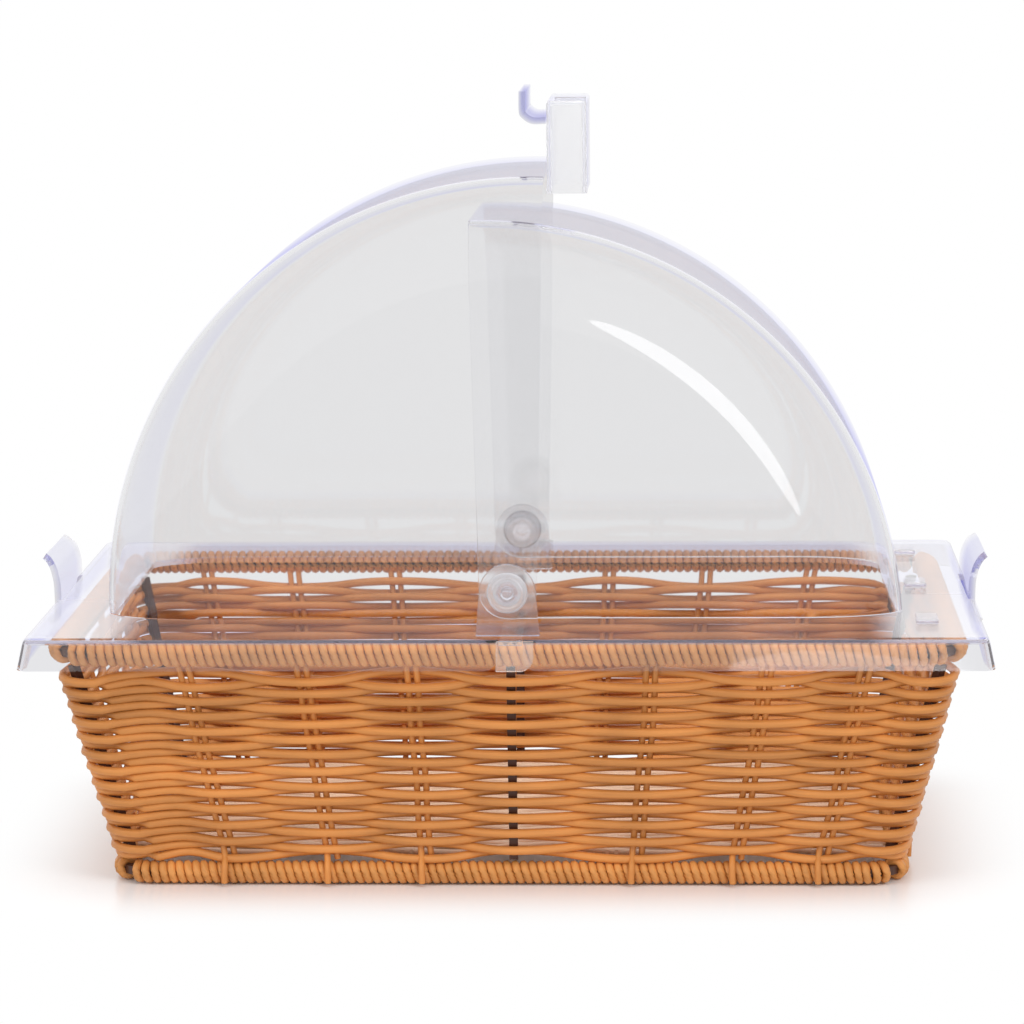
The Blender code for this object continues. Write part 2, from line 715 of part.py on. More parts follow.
def floor_relief(high):
    """A block that cuts the floor's top to rows of strand, which rise and sink over the stakes."""
    half_x, half_y, corner = wall_size(wall_low)
    rows = math.ceil(half_y / FLOOR_PITCH) * 2
    columns = math.ceil(half_x / FLOOR_STAKE_STEP) + 1
    top = high - FLOOR_WAVE
    mesh = bmesh.new()
    rings = []
    for column in range(-columns, columns):
        x = (column + 1 / 2) * FLOOR_STAKE_STEP
        ring = []
        for row in range(rows):
            y = (row - rows / 2) * FLOOR_PITCH
            ring.append(mesh.verts.new((x, y, top - FLOOR_GROOVE)))
            wave = math.sin(math.pi * (x / FLOOR_STAKE_STEP + row))
            ring.append(mesh.verts.new((x, y + FLOOR_PITCH / 2, top + FLOOR_WAVE * wave)))
        last_y = rows / 2 * FLOOR_PITCH
        ring.append(mesh.verts.new((x, last_y, top - FLOOR_GROOVE)))
        ring.append(mesh.verts.new((x, last_y, high + OVERRUN)))
        ring.append(mesh.verts.new((x, -last_y, high + OVERRUN)))
        rings.append(ring)
    for lower, upper in zip(rings, rings[1:]):
        for index, vert in enumerate(lower):
            mesh.faces.new((lower[index - 1], vert, upper[index], upper[index - 1]))
    mesh.faces.new(rings[0])
    mesh.faces.new(rings[-1])
    bmesh.ops.triangulate(mesh, faces=mesh.faces, ngon_method="EAR_CLIP")
    return mesh


def make_posts_and_floor(wall, steel_look, floor_look):
    """The woven floor, and posts that stand in the weave at the corners and at two middles."""
    size = wall_size(wall_low)
    high = wall_low + FLOOR_THICK
    levels = [shrunk(size, WALL_THICK + GAP, z) for z in (wall_low, high)]
    floor = finish("basket_floor", loft(levels, closed=False), floor_look)
    places = {
        "back": POST_SHARE, "back_left": 1 + CORNER_STAKE_SHARE, "front_left": 3 + CORNER_STAKE_SHARE,
        "front": 4 + POST_SHARE, "front_right": 5 + CORNER_STAKE_SHARE, "back_right": 7 + CORNER_STAKE_SHARE,
    }
    half = POST_WIDTH / 2
    for word, place in places.items():
        finish("frame_post_" + word, bar(place, wall_low, wall_high, half), steel_look)
        for target in (wall, floor):
            room = bar(place, wall_low - OVERRUN, wall_high + OVERRUN, half + GAP)
            combine(target, "DIFFERENCE", "post_" + word, room)
    combine(floor, "DIFFERENCE", "weave", floor_relief(high))


def make_basket(weave_look, wrap_look, floor_look, steel_look):
    """Wall, floor, wound edges and the steel frame."""
    wall = make_wall(weave_look)
    rim_low = BASKET_HEIGHT - RIM_WRAP_HEIGHT
    make_wound_edge("rim", (rim_x, rim_y, RIM_CORNER), rim_low, BASKET_HEIGHT, RIM_WRAP_WIDTH, 0.0,
                    rim_low - OVERRUN, wrap_look, steel_look)
    foot_high = FOOT_WRAP_HEIGHT - FOOT_CUT
    make_wound_edge("foot", (base_x, base_y, BASE_CORNER), 0.0, foot_high, FOOT_WRAP_WIDTH, FOOT_CUT,
                    foot_high + OVERRUN, wrap_look, steel_look)
    make_posts_and_floor(wall, steel_look, floor_look)


clear_scene()
tool_look = make_look("helper", (0.5, 0.5, 0.5), 0.5)
weave = make_look("woven_polyrattan", (0.56, 0.24, 0.07), 0.5)
wound = make_look("wound_polyrattan", (0.60, 0.27, 0.09), 0.48)
floor_weave = make_look("pale_polyrattan", (0.72, 0.42, 0.22), 0.55)
steel = make_look("painted_brown_steel", (0.06, 0.03, 0.02), 0.45)
clear = make_look("clear_polycarbonate", (0.86, 0.87, 0.92), 0.05, 0.35)
fittings = make_look("clear_moulded_plastic", (0.80, 0.82, 0.90), 0.08, 0.5)

outer_carrier = make_carrier("outer_cover_axis")
inner_carrier = make_carrier("inner_cover_axis")

make_basket(weave, wound, floor_weave, steel)
for end_word, end_side in (("front", -1), ("back", 1)):
    make_bracket("hinge_bracket_" + end_word, end_side, fittings)
    make_hinge(end_word, end_side, fittings)

make_hood("outer_hood", -1, OUTER_SHIFT, outer_arc_z, outer_radius, outer_wall_y, clear, outer_carrier)
outer_opening = flange_opening(-1, OUTER_SHIFT, outer_arc_z, outer_radius, outer_wall_y)
make_flange("outer_flange", -1, OUTER_FLANGE_END, outer_opening, clear, outer_carrier)
make_end_handle("outer_handle", -1, fittings, outer_carrier)
make_top_grip(fittings, outer_carrier)

make_hood("inner_hood", 1, INNER_SHIFT, inner_arc_z, inner_radius, inner_wall_y, clear, inner_carrier)
inner_opening = flange_opening(1, INNER_SHIFT, inner_arc_z, inner_radius, inner_wall_y)
add_ribs(make_flange("inner_flange", 1, INNER_FLANGE_END, inner_opening, clear, inner_carrier))
make_end_handle("inner_handle", 1, fittings, inner_carrier)
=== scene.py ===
"""Looks of the countertop bread display bin, laid out as an add-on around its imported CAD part."""

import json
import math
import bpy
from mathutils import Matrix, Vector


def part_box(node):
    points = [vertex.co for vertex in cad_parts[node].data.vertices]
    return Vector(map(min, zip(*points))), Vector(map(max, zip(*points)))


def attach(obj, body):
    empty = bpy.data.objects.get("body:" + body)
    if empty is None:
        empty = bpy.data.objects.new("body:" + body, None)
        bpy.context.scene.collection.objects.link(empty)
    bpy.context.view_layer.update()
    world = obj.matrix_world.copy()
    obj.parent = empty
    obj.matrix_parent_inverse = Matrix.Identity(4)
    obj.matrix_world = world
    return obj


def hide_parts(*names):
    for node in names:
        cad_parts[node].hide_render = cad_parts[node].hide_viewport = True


bl_info = {
    "name": "Bread display bin",
    "version": (1, 0, 0),
    "blender": (4, 5, 0),
    "location": "3D View > Sidebar > Bread Bin",
    "description": "Builds the woven basket, the clear roll-top cover and the stage of a bread display bin",
    "category": "Object",
}

import bmesh
import bpy
from mathutils import Matrix, Vector, noise

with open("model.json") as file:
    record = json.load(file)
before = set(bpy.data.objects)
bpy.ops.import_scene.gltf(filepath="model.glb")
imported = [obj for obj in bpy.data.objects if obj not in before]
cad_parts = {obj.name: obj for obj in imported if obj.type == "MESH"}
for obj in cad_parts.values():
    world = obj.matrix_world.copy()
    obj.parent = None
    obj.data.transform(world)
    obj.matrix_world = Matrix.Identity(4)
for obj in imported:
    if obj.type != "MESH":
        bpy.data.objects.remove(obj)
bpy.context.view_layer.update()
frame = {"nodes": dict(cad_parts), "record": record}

MILLI = 0.001
# Vertices closer than this are one
MERGE = MILLI * MILLI
# How far off a plane a vertex may lie and still count as on it
NEAR = MILLI * 0.01
# Distance between flush faces of one piece
HAIR = MILLI * 0.02

FOOT_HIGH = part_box("foot_wrap")[1]
WALL_LOW, WALL_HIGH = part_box("basket_wall")
FLANGE_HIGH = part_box("outer_flange")[1]
HINGE_Z = frame["record"]["behaviour"]["joints"][0]["pos_m"][2]

# Shares of a straight side at which its stakes stand, from its left end as seen from outside
LONG_STAKE_SHARES = (0.108, 0.252, 0.385, 0.507, 0.679, 0.819, 0.938)
SHORT_STAKE_SHARES = (0.2, 0.5, 0.8)
POST_SHARE = LONG_STAKE_SHARES[3]
STAKE_COUNT = 2 * (len(LONG_STAKE_SHARES) + len(SHORT_STAKE_SHARES) + 2)
# Steps of a weaver from one stake to the next
STEPS_TO_STAKE = 10
# How much smaller the wall is at the foot than the foot coil, the radius of its corners there, how much
# that grows up to the rim, and the least radius of a row
WALL_INSET, WALL_CORNER, WALL_CORNER_GROWTH, LEAST_CORNER = 0.002, 0.024, 0.001, 0.006
# Below 1, a row stays longer beside its stakes and crosses over faster
WAVE_POWER = 0.8
# How far from a corner post, as a share of the way to the next stake, a row stands out most
CORNER_LAG = 0.16
# Level and swing of the rows that would pass inside a corner post, and how far each kind stands out there
INNER_LEVEL, INNER_SWING = 0.15, 0.75
INNER_OUT, CORNER_OUT = 0.0004, 0.0030
# Dip of a row at a stake, what it dips more near the rim and the foot, and over how many rows that fades
DIP, RIM_DIP, FOOT_DIP = 0.0010, 0.0032, 0.0020
RIM_ROWS, FOOT_ROWS = 2.0, 1.5
# A row dips where its wave is above minus this, and rises where it is below
DIP_LEVEL = 0.6
# Distance of the first and the last row from the ends of the wall, in thicknesses of their strand
FIRST_ROW, LAST_ROW = 0.7, 0.8
# How much more a row moves at a steel post, and how uneven it is up and down and in and out
POST_SWING = 0.0012
ROW_RISE, ROW_DRIFT = 0.0009, 0.0006
# Height and depth of the strand of a stake that runs down over the foot coil, from the coil's outside
STAKE_OVER_FOOT = ((0.0022, -0.0008), (0.0075, -0.0010), (0.0125, -0.0006), (0.0170, 0.0022))
# Height at which the other strand ends, the stretch in the wall, its steps, and how uneven the stakes are
STAKE_END, STAKE_LOW, STAKE_HIGH = 0.0150, 0.0235, 0.1405
STAKE_STEPS = 12
STAKE_DRIFT, STAKE_SWAY = 0.0012, 0.0006

# The coils: radius of their corners in plan and half their width
RIM_CORNER, RIM_HALF_WIDTH = 0.030, 0.0075
FOOT_CORNER, FOOT_HALF_WIDTH = 0.026, 0.0070
# Steps of a turn, and the share of a turn at which a run starts
TURN_STEPS, TURN_START = 14, 0.37
# How far a turn leans along the ring, and how much of that is lost at the ends of a run
TURN_SLANT, SLANT_LOSS = 0.17, 1.6
TURN_DRIFT = 0.0002
# Changes of tone in a metre
TONE_SPOTS = 160

# The woven floor: its distance from its node's edges and its corners, the distance between its stakes,
# the steps along a strand, and how far a strand waves and drifts
FLOOR_INSET, FLOOR_CORNER = 0.004, 0.014
FLOOR_STAKE_PITCH, FLOOR_STEP = 0.060, 0.0075
FLOOR_WAVE, FLOOR_DRIFT = 0.0013, 0.0006

# The halves of the cover: side of the object, and word in the names of their nodes
HALVES = ((-1, "outer"), (1, "inner"))
# Holes that the studs pass
BORE_RADIUS = 0.0060
# Steps of a rounded corner
CORNER_STEPS = 8
# Where an arc of a hood starts below the level of its middle, and how far it sweeps, in degrees
ARC_START, ARC_SWEEP = 30, 140
# Play between a handle and the notch of its flange, along X and Y
PLAY_X, PLAY_Y = 0.0002, 0.0003
# The pads: distance between them and from the hood, their size, their lift off the flange and rounding
PAD_ROW, PAD_GAP, PAD_LENGTH, PAD_HALF_WIDTH = 0.118, 0.0046, 0.013, 0.010
PAD_LIFT, PAD_EDGE = MILLI * 0.05, 0.0012

# Foot and lip of an end handle against the flange's top, and the route of its middle: distance past the
# web, with height above the foot and then above the lip
HANDLE_FOOT, HANDLE_LIP = 0.0140, 0.0255
FOOT_ROUTE = ((0.0055, 0.0), (0.0011, 0.0035), (0.0, 0.0070))
LIP_ROUTE = ((0.0, -0.0200), (0.0006, -0.0130), (0.0025, -0.0065), (0.0054, -0.0022), (0.0085, 0.0))
HANDLE_CORNER, HANDLE_EDGE = 0.0150, 0.0010
# The grip: breadth of its post, how much lower its top is than the hook's tip, and its rounding
POST_BREADTH, POST_DROP, POST_CORNER = 0.0237, 0.0055, 0.0020
# The hook: its level below the post's top, its reach, and its route past its tip and above its level
HOOK_DROP, HOOK_REACH, HOOK_GAP = 0.0115, 0.0142, 0.0003
HOOK_ROUTE = ((0.0060, 0.0), (0.0012, 0.0030), (0.0, 0.0060), (0.0, 0.0170))

# The hinge bracket: its ear, its arm over the rim and its tongue in front of the rim
EAR_FOOT, EAR_DEPTH = 0.0087, 0.0040
ARM_LEFT, ARM_RIGHT = -0.0027, 0.0107
TONGUE_LEFT, TONGUE_RIGHT, TONGUE_DEPTH = -0.0042, 0.0173, 0.0020
BRACKET_EDGE = 0.0005
# The stud: its head's height, its play in the bore, and the rings in its head as radius and depth
HEAD_HEIGHT, SHANK_PLAY, RING_DEPTH = 0.0030, 0.0004, 0.0008
HEAD_RINGS = ((0.0092, 0.0), (0.0084, RING_DEPTH), (0.0062, RING_DEPTH), (0.0054, 0.0), (0.0038, 0.0),
              (0.0030, RING_DEPTH), (0.0, RING_DEPTH))
# The cap's chamfer, its play on the stud, and the rounding of turned pieces
CAP_CHAMFER, CAP_PLAY = 0.0010, 0.0003
TURNED_EDGE, TURNED_ANGLE = 0.0003, 30.0

# Base colour of clear plastic, and how much of it haze takes away
CLEAR_LEVEL, HAZE_LOSS = 0.97, 0.2
# Share of light that goes straight on at a grazing look, and the turns in a sheet after which all does
GRAZING_SHARE, CAUGHT_TURNS = 0.95, 2.5
PALE_EDGE = (0.95, 0.95, 0.98)
# Clear finishes: tint, its density in the depth, roughness, share of light that is scattered, the same on
# ground ends, and what is left of the light that stays caught
CLEAR_FINISHES = {
    # Sheet, formed into the hoods: thin, polished and almost without tint
    "vacuum_formed": ("clear", 3.5, 0.02, 0.0, 0.0, PALE_EDGE),
    # Sheet, pressed into the flanges: long edges gather a violet-blue line, and ground ends look white
    "pressed": ("clear", 16.0, 0.02, 0.0, 0.65, (0.25, 0.22, 0.20)),
    # Handles and hook: thick enough to look violet-blue from their narrow sides
    "injection_moulded": ("moulded", 12.0, 0.04, 0.06, 0.0, (0.42, 0.38, 0.45)),
    # Small fittings with a slight haze, which look whiter than the walls behind them
    "moulded_hazy": ("clear", 3.5, 0.08, 0.25, 0.0, PALE_EDGE),
    # Studs, washers and caps, clear enough for the rings in their heads to show
    "moulded_ringed": ("clear", 6.0, 0.03, 0.20, 0.0, (0.60, 0.58, 0.64)),
    # Thin hinge brackets, clearer than the other fittings, with pale edges
    "moulded_thin": ("clear", 6.0, 0.05, 0.07, 0.0, PALE_EDGE),
}

# Where a flange goes from clear to ground, as distances from the middle along each axis
GROUND_STRIPS = (("Z", FLANGE_HIGH.z - 0.0045, FLANGE_HIGH.z - 0.0035, "LINEAR"),
                 ("Y", FLANGE_HIGH.y - 0.0100, FLANGE_HIGH.y - 0.0130, "LINEAR"),
                 ("X", 0.205, 0.232, "SMOOTHSTEP"))

# Lamps: name, place, aim, width, power, and whether clear walls mirror it
LAMPS = (("lamp_top", (0.0, -0.3, 1.9), (0.0, 0.0, 0.1), 1.6, 16.0, False),
         ("lamp_right", (1.25, -1.45, 1.35), (0.0, 0.0, 0.2), 0.85, 12.0, False),
         ("lamp_left", (-1.5, -1.3, 0.9), (0.0, 0.0, 0.15), 1.0, 8.0, False),
         ("lamp_crescent", (0.415, -2.10, 0.325), (0.13, -0.1, 0.28), 0.70, 1.15, True))
# Height of the mirrored lamp as a share of its width, and its turn in degrees
CRESCENT_SHARE, CRESCENT_TURN = 0.46, -45
SENSOR_WIDTH = 36.0
# The stage's floor: its size, its place under the foot, and where the object's shadow fades out, as
# distances from a rectangle inside the foot
STAGE_RADIUS, STAGE_DROP = 9.0, 0.0002
SHADOW_INSET, SHADOW_NEAR, SHADOW_FAR = 0.02, 0.02, 0.11


def linear(code):
    """A colour of the scene from the six hex digits of an sRGB colour."""
    shades = []
    for start in (0, 2, 4):
        value = int(code[start:start + 2], 16) / 255
        shades.append(value / 12.92 if value <= 0.04045 else ((value + 0.055) / 1.055) ** 2.4)
    return tuple(shades)


def length_setting(name, description, default):
    """A setting that holds a length in metres."""
    return bpy.props.FloatProperty(name=name, description=description, default=default, min=0.0,
                                   unit="LENGTH", subtype="DISTANCE", precision=4)


def angle_setting(name, description, degrees):
    """A setting that holds an angle."""
    return bpy.props.FloatProperty(name=name, description=description, default=math.radians(degrees),
                                   subtype="ANGLE")


def colour_setting(name, description, code):
    """A setting that holds a colour, given by its sRGB hex digits."""
    return bpy.props.FloatVectorProperty(name=name, description=description, default=linear(code),
                                         size=3, min=0.0, max=1.0, subtype="COLOR")


class BreadBinWeave(bpy.types.PropertyGroup):
    """Sizes of the woven and wound strands."""

    rows: bpy.props.IntProperty(name="Rows", description="Rows of weavers up the wall", default=24, min=2)
    weaver: length_setting("Weaver", "Diameter of the strands that go round the wall", 0.0052)
    stake: length_setting("Stake", "Diameter of the upright strands", 0.0038)
    stake_gap: length_setting("Stake gap", "Distance between the two strands of a stake", 0.0054)
    depth: length_setting("Depth", "Distance of the weave's middle from the outside of the wall", 0.0060)
    swing: length_setting("Swing", "How far a weaver moves out and in at a stake", 0.0036)
    coil: length_setting("Coil strand", "Diameter of the strand that is wound on rim and foot", 0.0052)
    rim_pitch: length_setting("Rim pitch", "Distance between turns on the rim", 0.00515)
    foot_pitch: length_setting("Foot pitch", "Distance between turns on the foot", 0.00495)
    coil_gap: length_setting("Coil gap", "Bare length of the steel ring at a corner", 0.0070)
    floor_strand: length_setting("Floor strand", "Diameter of the strands of the floor", 0.0042)
    floor_pitch: length_setting("Floor pitch", "Distance between the strands of the floor", 0.0048)


class BreadBinCover(bpy.types.PropertyGroup):
    """Sizes of the clear cover."""

    wall: length_setting("Wall", "Thickness of the clear walls", 0.0030)
    edge: length_setting("Edge", "Rounding of the cut edges", 0.0004)
    across: length_setting("Corner height", "Height of a hood's soft corner", 0.0600)
    along: length_setting("Corner depth", "Depth of a hood's soft corner", 0.0280)
    lean: length_setting("Lean", "How far a hood's middle edge leans past the hinge at the crown", 0.0050)
    outer_shift: length_setting("Outer shift", "Distance of the outer arc's centre past the hinge", 0.0120)
    inner_shift: length_setting("Inner shift", "Distance of the inner arc's centre past the hinge", 0.0160)
    ears: length_setting("Ear radius", "Radius of the round end of a hinge bracket", 0.0165)
    strip: length_setting("Handle strip", "Thickness of the handles", 0.0040)
    steps: bpy.props.IntProperty(name="Steps", description="Steps of an arc in a quarter turn", default=72,
                                 min=8)
    flare: length_setting("Flare", "How far the skirt of the flange stands out at its foot", 0.0035)
    flange_corner: length_setting("Flange corner", "Radius of the flange's corners in plan", 0.0080)
    flange_edge: length_setting("Flange edge", "Rounding between the flange's top and its skirt", 0.0022)
    skirt_corner: length_setting("Skirt corner", "Radius of the skirt's corners beside the hinge", 0.0080)
    recess: length_setting("Recess", "Half length of the flange's cut-out at the hinge", 0.0193)
    flange_strip: length_setting("Flange strip", "Width of the flange beside the hinge's cut-out", 0.0545)


class BreadBinColours(bpy.types.PropertyGroup):
    """Colours of the finishes."""

    weaver: colour_setting("Weave", "Strands of the wall", "DE924A")
    coil: colour_setting("Wound edge", "Strands of the rim and the foot", "E49C54")
    floor: colour_setting("Floor", "Strands of the floor", "EBC7A6")
    steel: colour_setting("Steel", "Paint of the steel frame", "46281C")
    clear: colour_setting("Clear", "Tint of the clear walls in their depth", "9696F0")
    moulded: colour_setting("Moulded", "Tint of the moulded fittings in their depth", "8A8AE4")


class BreadBinStage(bpy.types.PropertyGroup):
    """Camera and light."""

    lens: bpy.props.FloatProperty(name="Lens", description="Focal length on a sensor 36 mm wide",
                                  default=138.4, min=1.0)
    place: bpy.props.FloatVectorProperty(name="Place", description="Where the camera stands",
                                         default=(0.1013, -2.3607, 0.5784), size=3, subtype="XYZ_LENGTH")
    yaw: angle_setting("Yaw", "Turn of the camera to the left of straight on", 2.50)
    pitch: angle_setting("Pitch", "How far the camera looks down", 9.10)
    roll: angle_setting("Roll", "Turn of the camera about its own line of sight", -0.53)
    light: bpy.props.FloatProperty(name="Light", description="Level of the lamps", default=1.0, min=0.0)
    backdrop: bpy.props.FloatProperty(name="Backdrop", default=0.83, min=0.0,
                                      description="Level that clear walls show of the backdrop")


class BreadBinSettings(bpy.types.PropertyGroup):
    """All the settings of the bread bin."""

    weave: bpy.props.PointerProperty(type=BreadBinWeave)
    cover: bpy.props.PointerProperty(type=BreadBinCover)
    colours: bpy.props.PointerProperty(type=BreadBinColours)
    stage: bpy.props.PointerProperty(type=BreadBinStage)


# Materials


def add_node(tree, kind, sockets=None, **settings):
    """Add a shader node, set its properties, and fill its sockets with constants, links or the first
    output of another node."""
    node = tree.nodes.new("ShaderNode" + kind)
    for name, value in settings.items():
        setattr(node, name, value)
    for name, value in (sockets or {}).items():
        if isinstance(value, bpy.types.Node):
            value = value.outputs[0]
        if isinstance(value, bpy.types.NodeSocket):
            tree.links.new(value, node.inputs[name])
        else:
            node.inputs[name].default_value = value
    return node


def new_finish(name):
    """An empty node material and its tree, or None for the tree when the material is there already."""
    known = bpy.data.materials.get(name)
    if known is not None:
        return known, None
    made = bpy.data.materials.new(name)
    made.use_nodes = True
    made.node_tree.nodes.clear()
    return made, made.node_tree


def strand_finish(name, colour, dark_share):
    """Extruded synthetic rattan: a soft sheen, fine lines along each strand and strands of slightly
    different tone, so that the rows read as separate round strands."""
    finish, tree = new_finish(name)
    if tree is None:
        return finish
    # The tone drifts over about 45 mm, and the lines are about 33 mm long and 1.2 mm apart
    coordinates = add_node(tree, "TexCoord")
    own_tone = add_node(tree, "Attribute", attribute_name="strand_tone")
    drift = add_node(tree, "TexNoise", {"Vector": coordinates.outputs["Object"], "Scale": 22.0,
                                        "Detail": 3.0})
    along = add_node(tree, "Mapping", {"Vector": coordinates.outputs["UV"], "Scale": (30.0, 14.0, 1.0)})
    lines = add_node(tree, "TexNoise", {"Vector": along, "Scale": 1.0, "Detail": 4.0})
    tones = add_node(tree, "Math", {0: own_tone.outputs["Fac"], 1: 0.5, 2: drift}, operation="MULTIPLY_ADD")
    mixed = add_node(tree, "Math", {0: lines, 1: 0.6, 2: tones}, operation="MULTIPLY_ADD")
    spread = add_node(tree, "MapRange", {"Value": mixed, "From Min": 0.55, "From Max": 1.5})
    dark = [value * dark_share for value in colour]
    pale = [min(value * 1.12, 1.0) for value in colour]
    shade = add_node(tree, "Mix", {"Factor": spread, "A": (*dark, 1.0), "B": (*pale, 1.0)}, data_type="RGBA")
    bump = add_node(tree, "Bump", {"Strength": 0.25, "Distance": 0.0003, "Height": lines})
    shader = add_node(tree, "BsdfPrincipled", {"Base Color": shade.outputs["Result"], "Roughness": 0.42,
                                               "IOR": 1.50, "Normal": bump})
    add_node(tree, "OutputMaterial", {"Surface": shader})
    return finish


def steel_finish(colour):
    """Dark brown stove paint on square steel bar: a dull sheen, with the faint waves of a dipped coat
    about 3 mm apart."""
    finish, tree = new_finish("painted_brown_steel_dipped")
    if tree is None:
        return finish
    coordinates = add_node(tree, "TexCoord")
    waves = add_node(tree, "TexNoise", {"Vector": coordinates.outputs["Object"], "Scale": 300.0})
    bump = add_node(tree, "Bump", {"Strength": 0.2, "Distance": 0.0002, "Height": waves})
    shader = add_node(tree, "BsdfPrincipled", {"Base Color": (*colour, 1.0), "Roughness": 0.4, "IOR": 1.50,
                                               "Normal": bump})
    add_node(tree, "OutputMaterial", {"Surface": shader})
    return finish


def clear_share(tree, coordinates, frost):
    """The share of light that a flange doesn't scatter: all of it, but for the ground strips on the flat
    top at both of its ends."""
    place = add_node(tree, "SeparateXYZ", {"Vector": coordinates.outputs["Object"]})
    for axis, bare, ground, kind in GROUND_STRIPS:
        away = add_node(tree, "Math", {0: place.outputs[axis]}, operation="ABSOLUTE")
        frost = add_node(tree, "MapRange", {"Value": away, "From Min": bare, "From Max": ground,
                                            "To Max": frost}, interpolation_type=kind)
    return add_node(tree, "Math", {0: 1.0, 1: frost}, operation="SUBTRACT")


def clear_finish(kind):
    """Clear polycarbonate with its real thickness: light passes nearly untouched through the walls, and
    the long way through an edge or a thick fitting gathers a violet-blue tint. Light that is caught in a
    sheet for many turns leaves it straight ahead, so that its edges stay clear."""
    finish, tree = new_finish("clear_polycarbonate_" + kind)
    if tree is None:
        return finish
    tint, density, roughness, haze, frost, edge = CLEAR_FINISHES[kind]
    colour = getattr(bpy.context.scene.bread_bin.colours, tint)
    # The polish changes over about 17 mm
    coordinates = add_node(tree, "TexCoord")
    marks = add_node(tree, "TexNoise", {"Vector": coordinates.outputs["Object"], "Scale": 60.0,
                                        "Detail": 2.0})
    polish = add_node(tree, "MapRange", {"Value": marks, "To Min": roughness, "To Max": roughness * 2})
    passed = 1.0 - haze
    grey = CLEAR_LEVEL - HAZE_LOSS * haze
    base = (grey, grey, grey, 1.0)
    weight = add_node(tree, "LayerWeight", {"Blend": 0.5})
    thin = add_node(tree, "MapRange", {"Value": weight.outputs["Facing"], "From Min": 0.62, "From Max": 0.88,
                                       "To Max": GRAZING_SHARE * passed}, interpolation_type="SMOOTHSTEP")
    if frost:
        passed = clear_share(tree, coordinates, frost)
        thin = add_node(tree, "Math", {0: thin, 1: passed}, operation="MULTIPLY")
        base = add_node(tree, "Math", {0: passed, 1: HAZE_LOSS, 2: CLEAR_LEVEL - HAZE_LOSS},
                        operation="MULTIPLY_ADD")
    glass = add_node(tree, "BsdfPrincipled", {"Base Color": base, "Roughness": polish, "IOR": 1.585,
                                              "Transmission Weight": passed})
    # Light and shade pass straight through, and what entered a wall straight leaves it straight
    path = add_node(tree, "LightPath")
    within = add_node(tree, "Math", {0: path.outputs["Transparent Depth"], 1: 2.0}, operation="MODULO")
    for share in (path.outputs["Is Shadow Ray"], path.outputs["Is Diffuse Ray"], within):
        thin = add_node(tree, "Math", {0: thin, 1: share}, operation="MAXIMUM")
    through = add_node(tree, "BsdfTransparent", {"Color": (0.98, 0.98, 0.99, 1.0)})
    surface = add_node(tree, "MixShader", {0: thin, 1: glass, 2: through})
    caught = add_node(tree, "Math", {0: path.outputs["Glossy Depth"], 1: CAUGHT_TURNS},
                      operation="GREATER_THAN")
    leaving = add_node(tree, "BsdfTransparent", {"Color": (*edge, 1.0)})
    surface = add_node(tree, "MixShader", {0: caught, 1: surface, 2: leaving})
    depth = add_node(tree, "VolumeAbsorption", {"Color": (*colour, 1.0), "Density": density})
    add_node(tree, "OutputMaterial", {"Surface": surface, "Volume": depth})
    return finish


def dress(item, finish):
    """Give an object one material in its only slot."""
    item.data.materials.clear()
    item.data.materials.append(finish)


# Objects


def add_object(name, data):
    """An object of the scene for a mesh, a lamp or a camera."""
    made = bpy.data.objects.new(name, data)
    bpy.context.scene.collection.objects.link(made)
    return made


def add_mesh(name, mesh):
    """Turn a bmesh into an object of the scene."""
    data = bpy.data.meshes.new(name)
    mesh.to_mesh(data)
    mesh.free()
    return add_object(name, data)


def finish_piece(name, mesh, finish, body, node, sharp=180.0):
    """Turn a bmesh into a smooth-shaded object that rides on a body and stands for a CAD node."""
    made = add_mesh(name, mesh)
    made.data.shade_smooth()
    made.data.set_sharp_from_angle(angle=math.radians(sharp))
    dress(made, finish)
    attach(made, body)
    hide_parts(node)
    return made


def finish_strands(name, mesh, finish, node):
    """Close the strands of a piece of the basket and finish it."""
    tidy(mesh)
    finish_piece(name, mesh, finish, "basket", node, 80.0)


def round_edges(item, width, angle=40.0):
    """Round the cut edges of a moulded piece and keep its flat walls flat in the light."""
    step = item.modifiers.new("edges", "BEVEL")
    step.width = width
    step.segments = 2
    step.limit_method = "ANGLE"
    step.angle_limit = math.radians(angle)
    step.harden_normals = False
    flat = item.modifiers.new("flat_walls", "WEIGHTED_NORMAL")
    flat.keep_sharp = False


def add_wall(item, thickness, edge, offset=-1.0):
    """Give an open surface the thickness of a moulded wall, and round its edges."""
    step = item.modifiers.new("wall", "SOLIDIFY")
    step.thickness = thickness
    step.offset = offset
    step.use_even_offset = True
    round_edges(item, edge)


def finish_half(word, part, mesh, kind, thickness, edge, offset=-1.0):
    """Finish an open surface as a walled piece that rides on one half of the cover."""
    made = finish_piece("clear_%s_%s" % (word, part), mesh, clear_finish(kind), word + "_cover",
                        "%s_%s" % (word, part))
    add_wall(made, thickness, edge, offset)


def tidy(mesh):
    """Merge doubles, close open ends and turn all faces outwards."""
    bmesh.ops.remove_doubles(mesh, verts=mesh.verts, dist=MERGE)
    bmesh.ops.holes_fill(mesh, edges=[edge for edge in mesh.edges if edge.is_boundary], sides=0)
    bmesh.ops.recalc_face_normals(mesh, faces=mesh.faces)


def outward(mesh, inside):
    """Turn an open surface so that its faces look away from a point inside."""
    bmesh.ops.recalc_face_normals(mesh, faces=mesh.faces)
    largest = max(mesh.faces, key=lambda face: face.calc_area())
    if largest.normal.dot(largest.calc_center_median() - inside) < 0:
        bmesh.ops.reverse_faces(mesh, faces=mesh.faces)


def new_verts(grown):
    """The vertices that an extrusion made."""
    return [item for item in grown["geom"] if isinstance(item, bmesh.types.BMVert)]


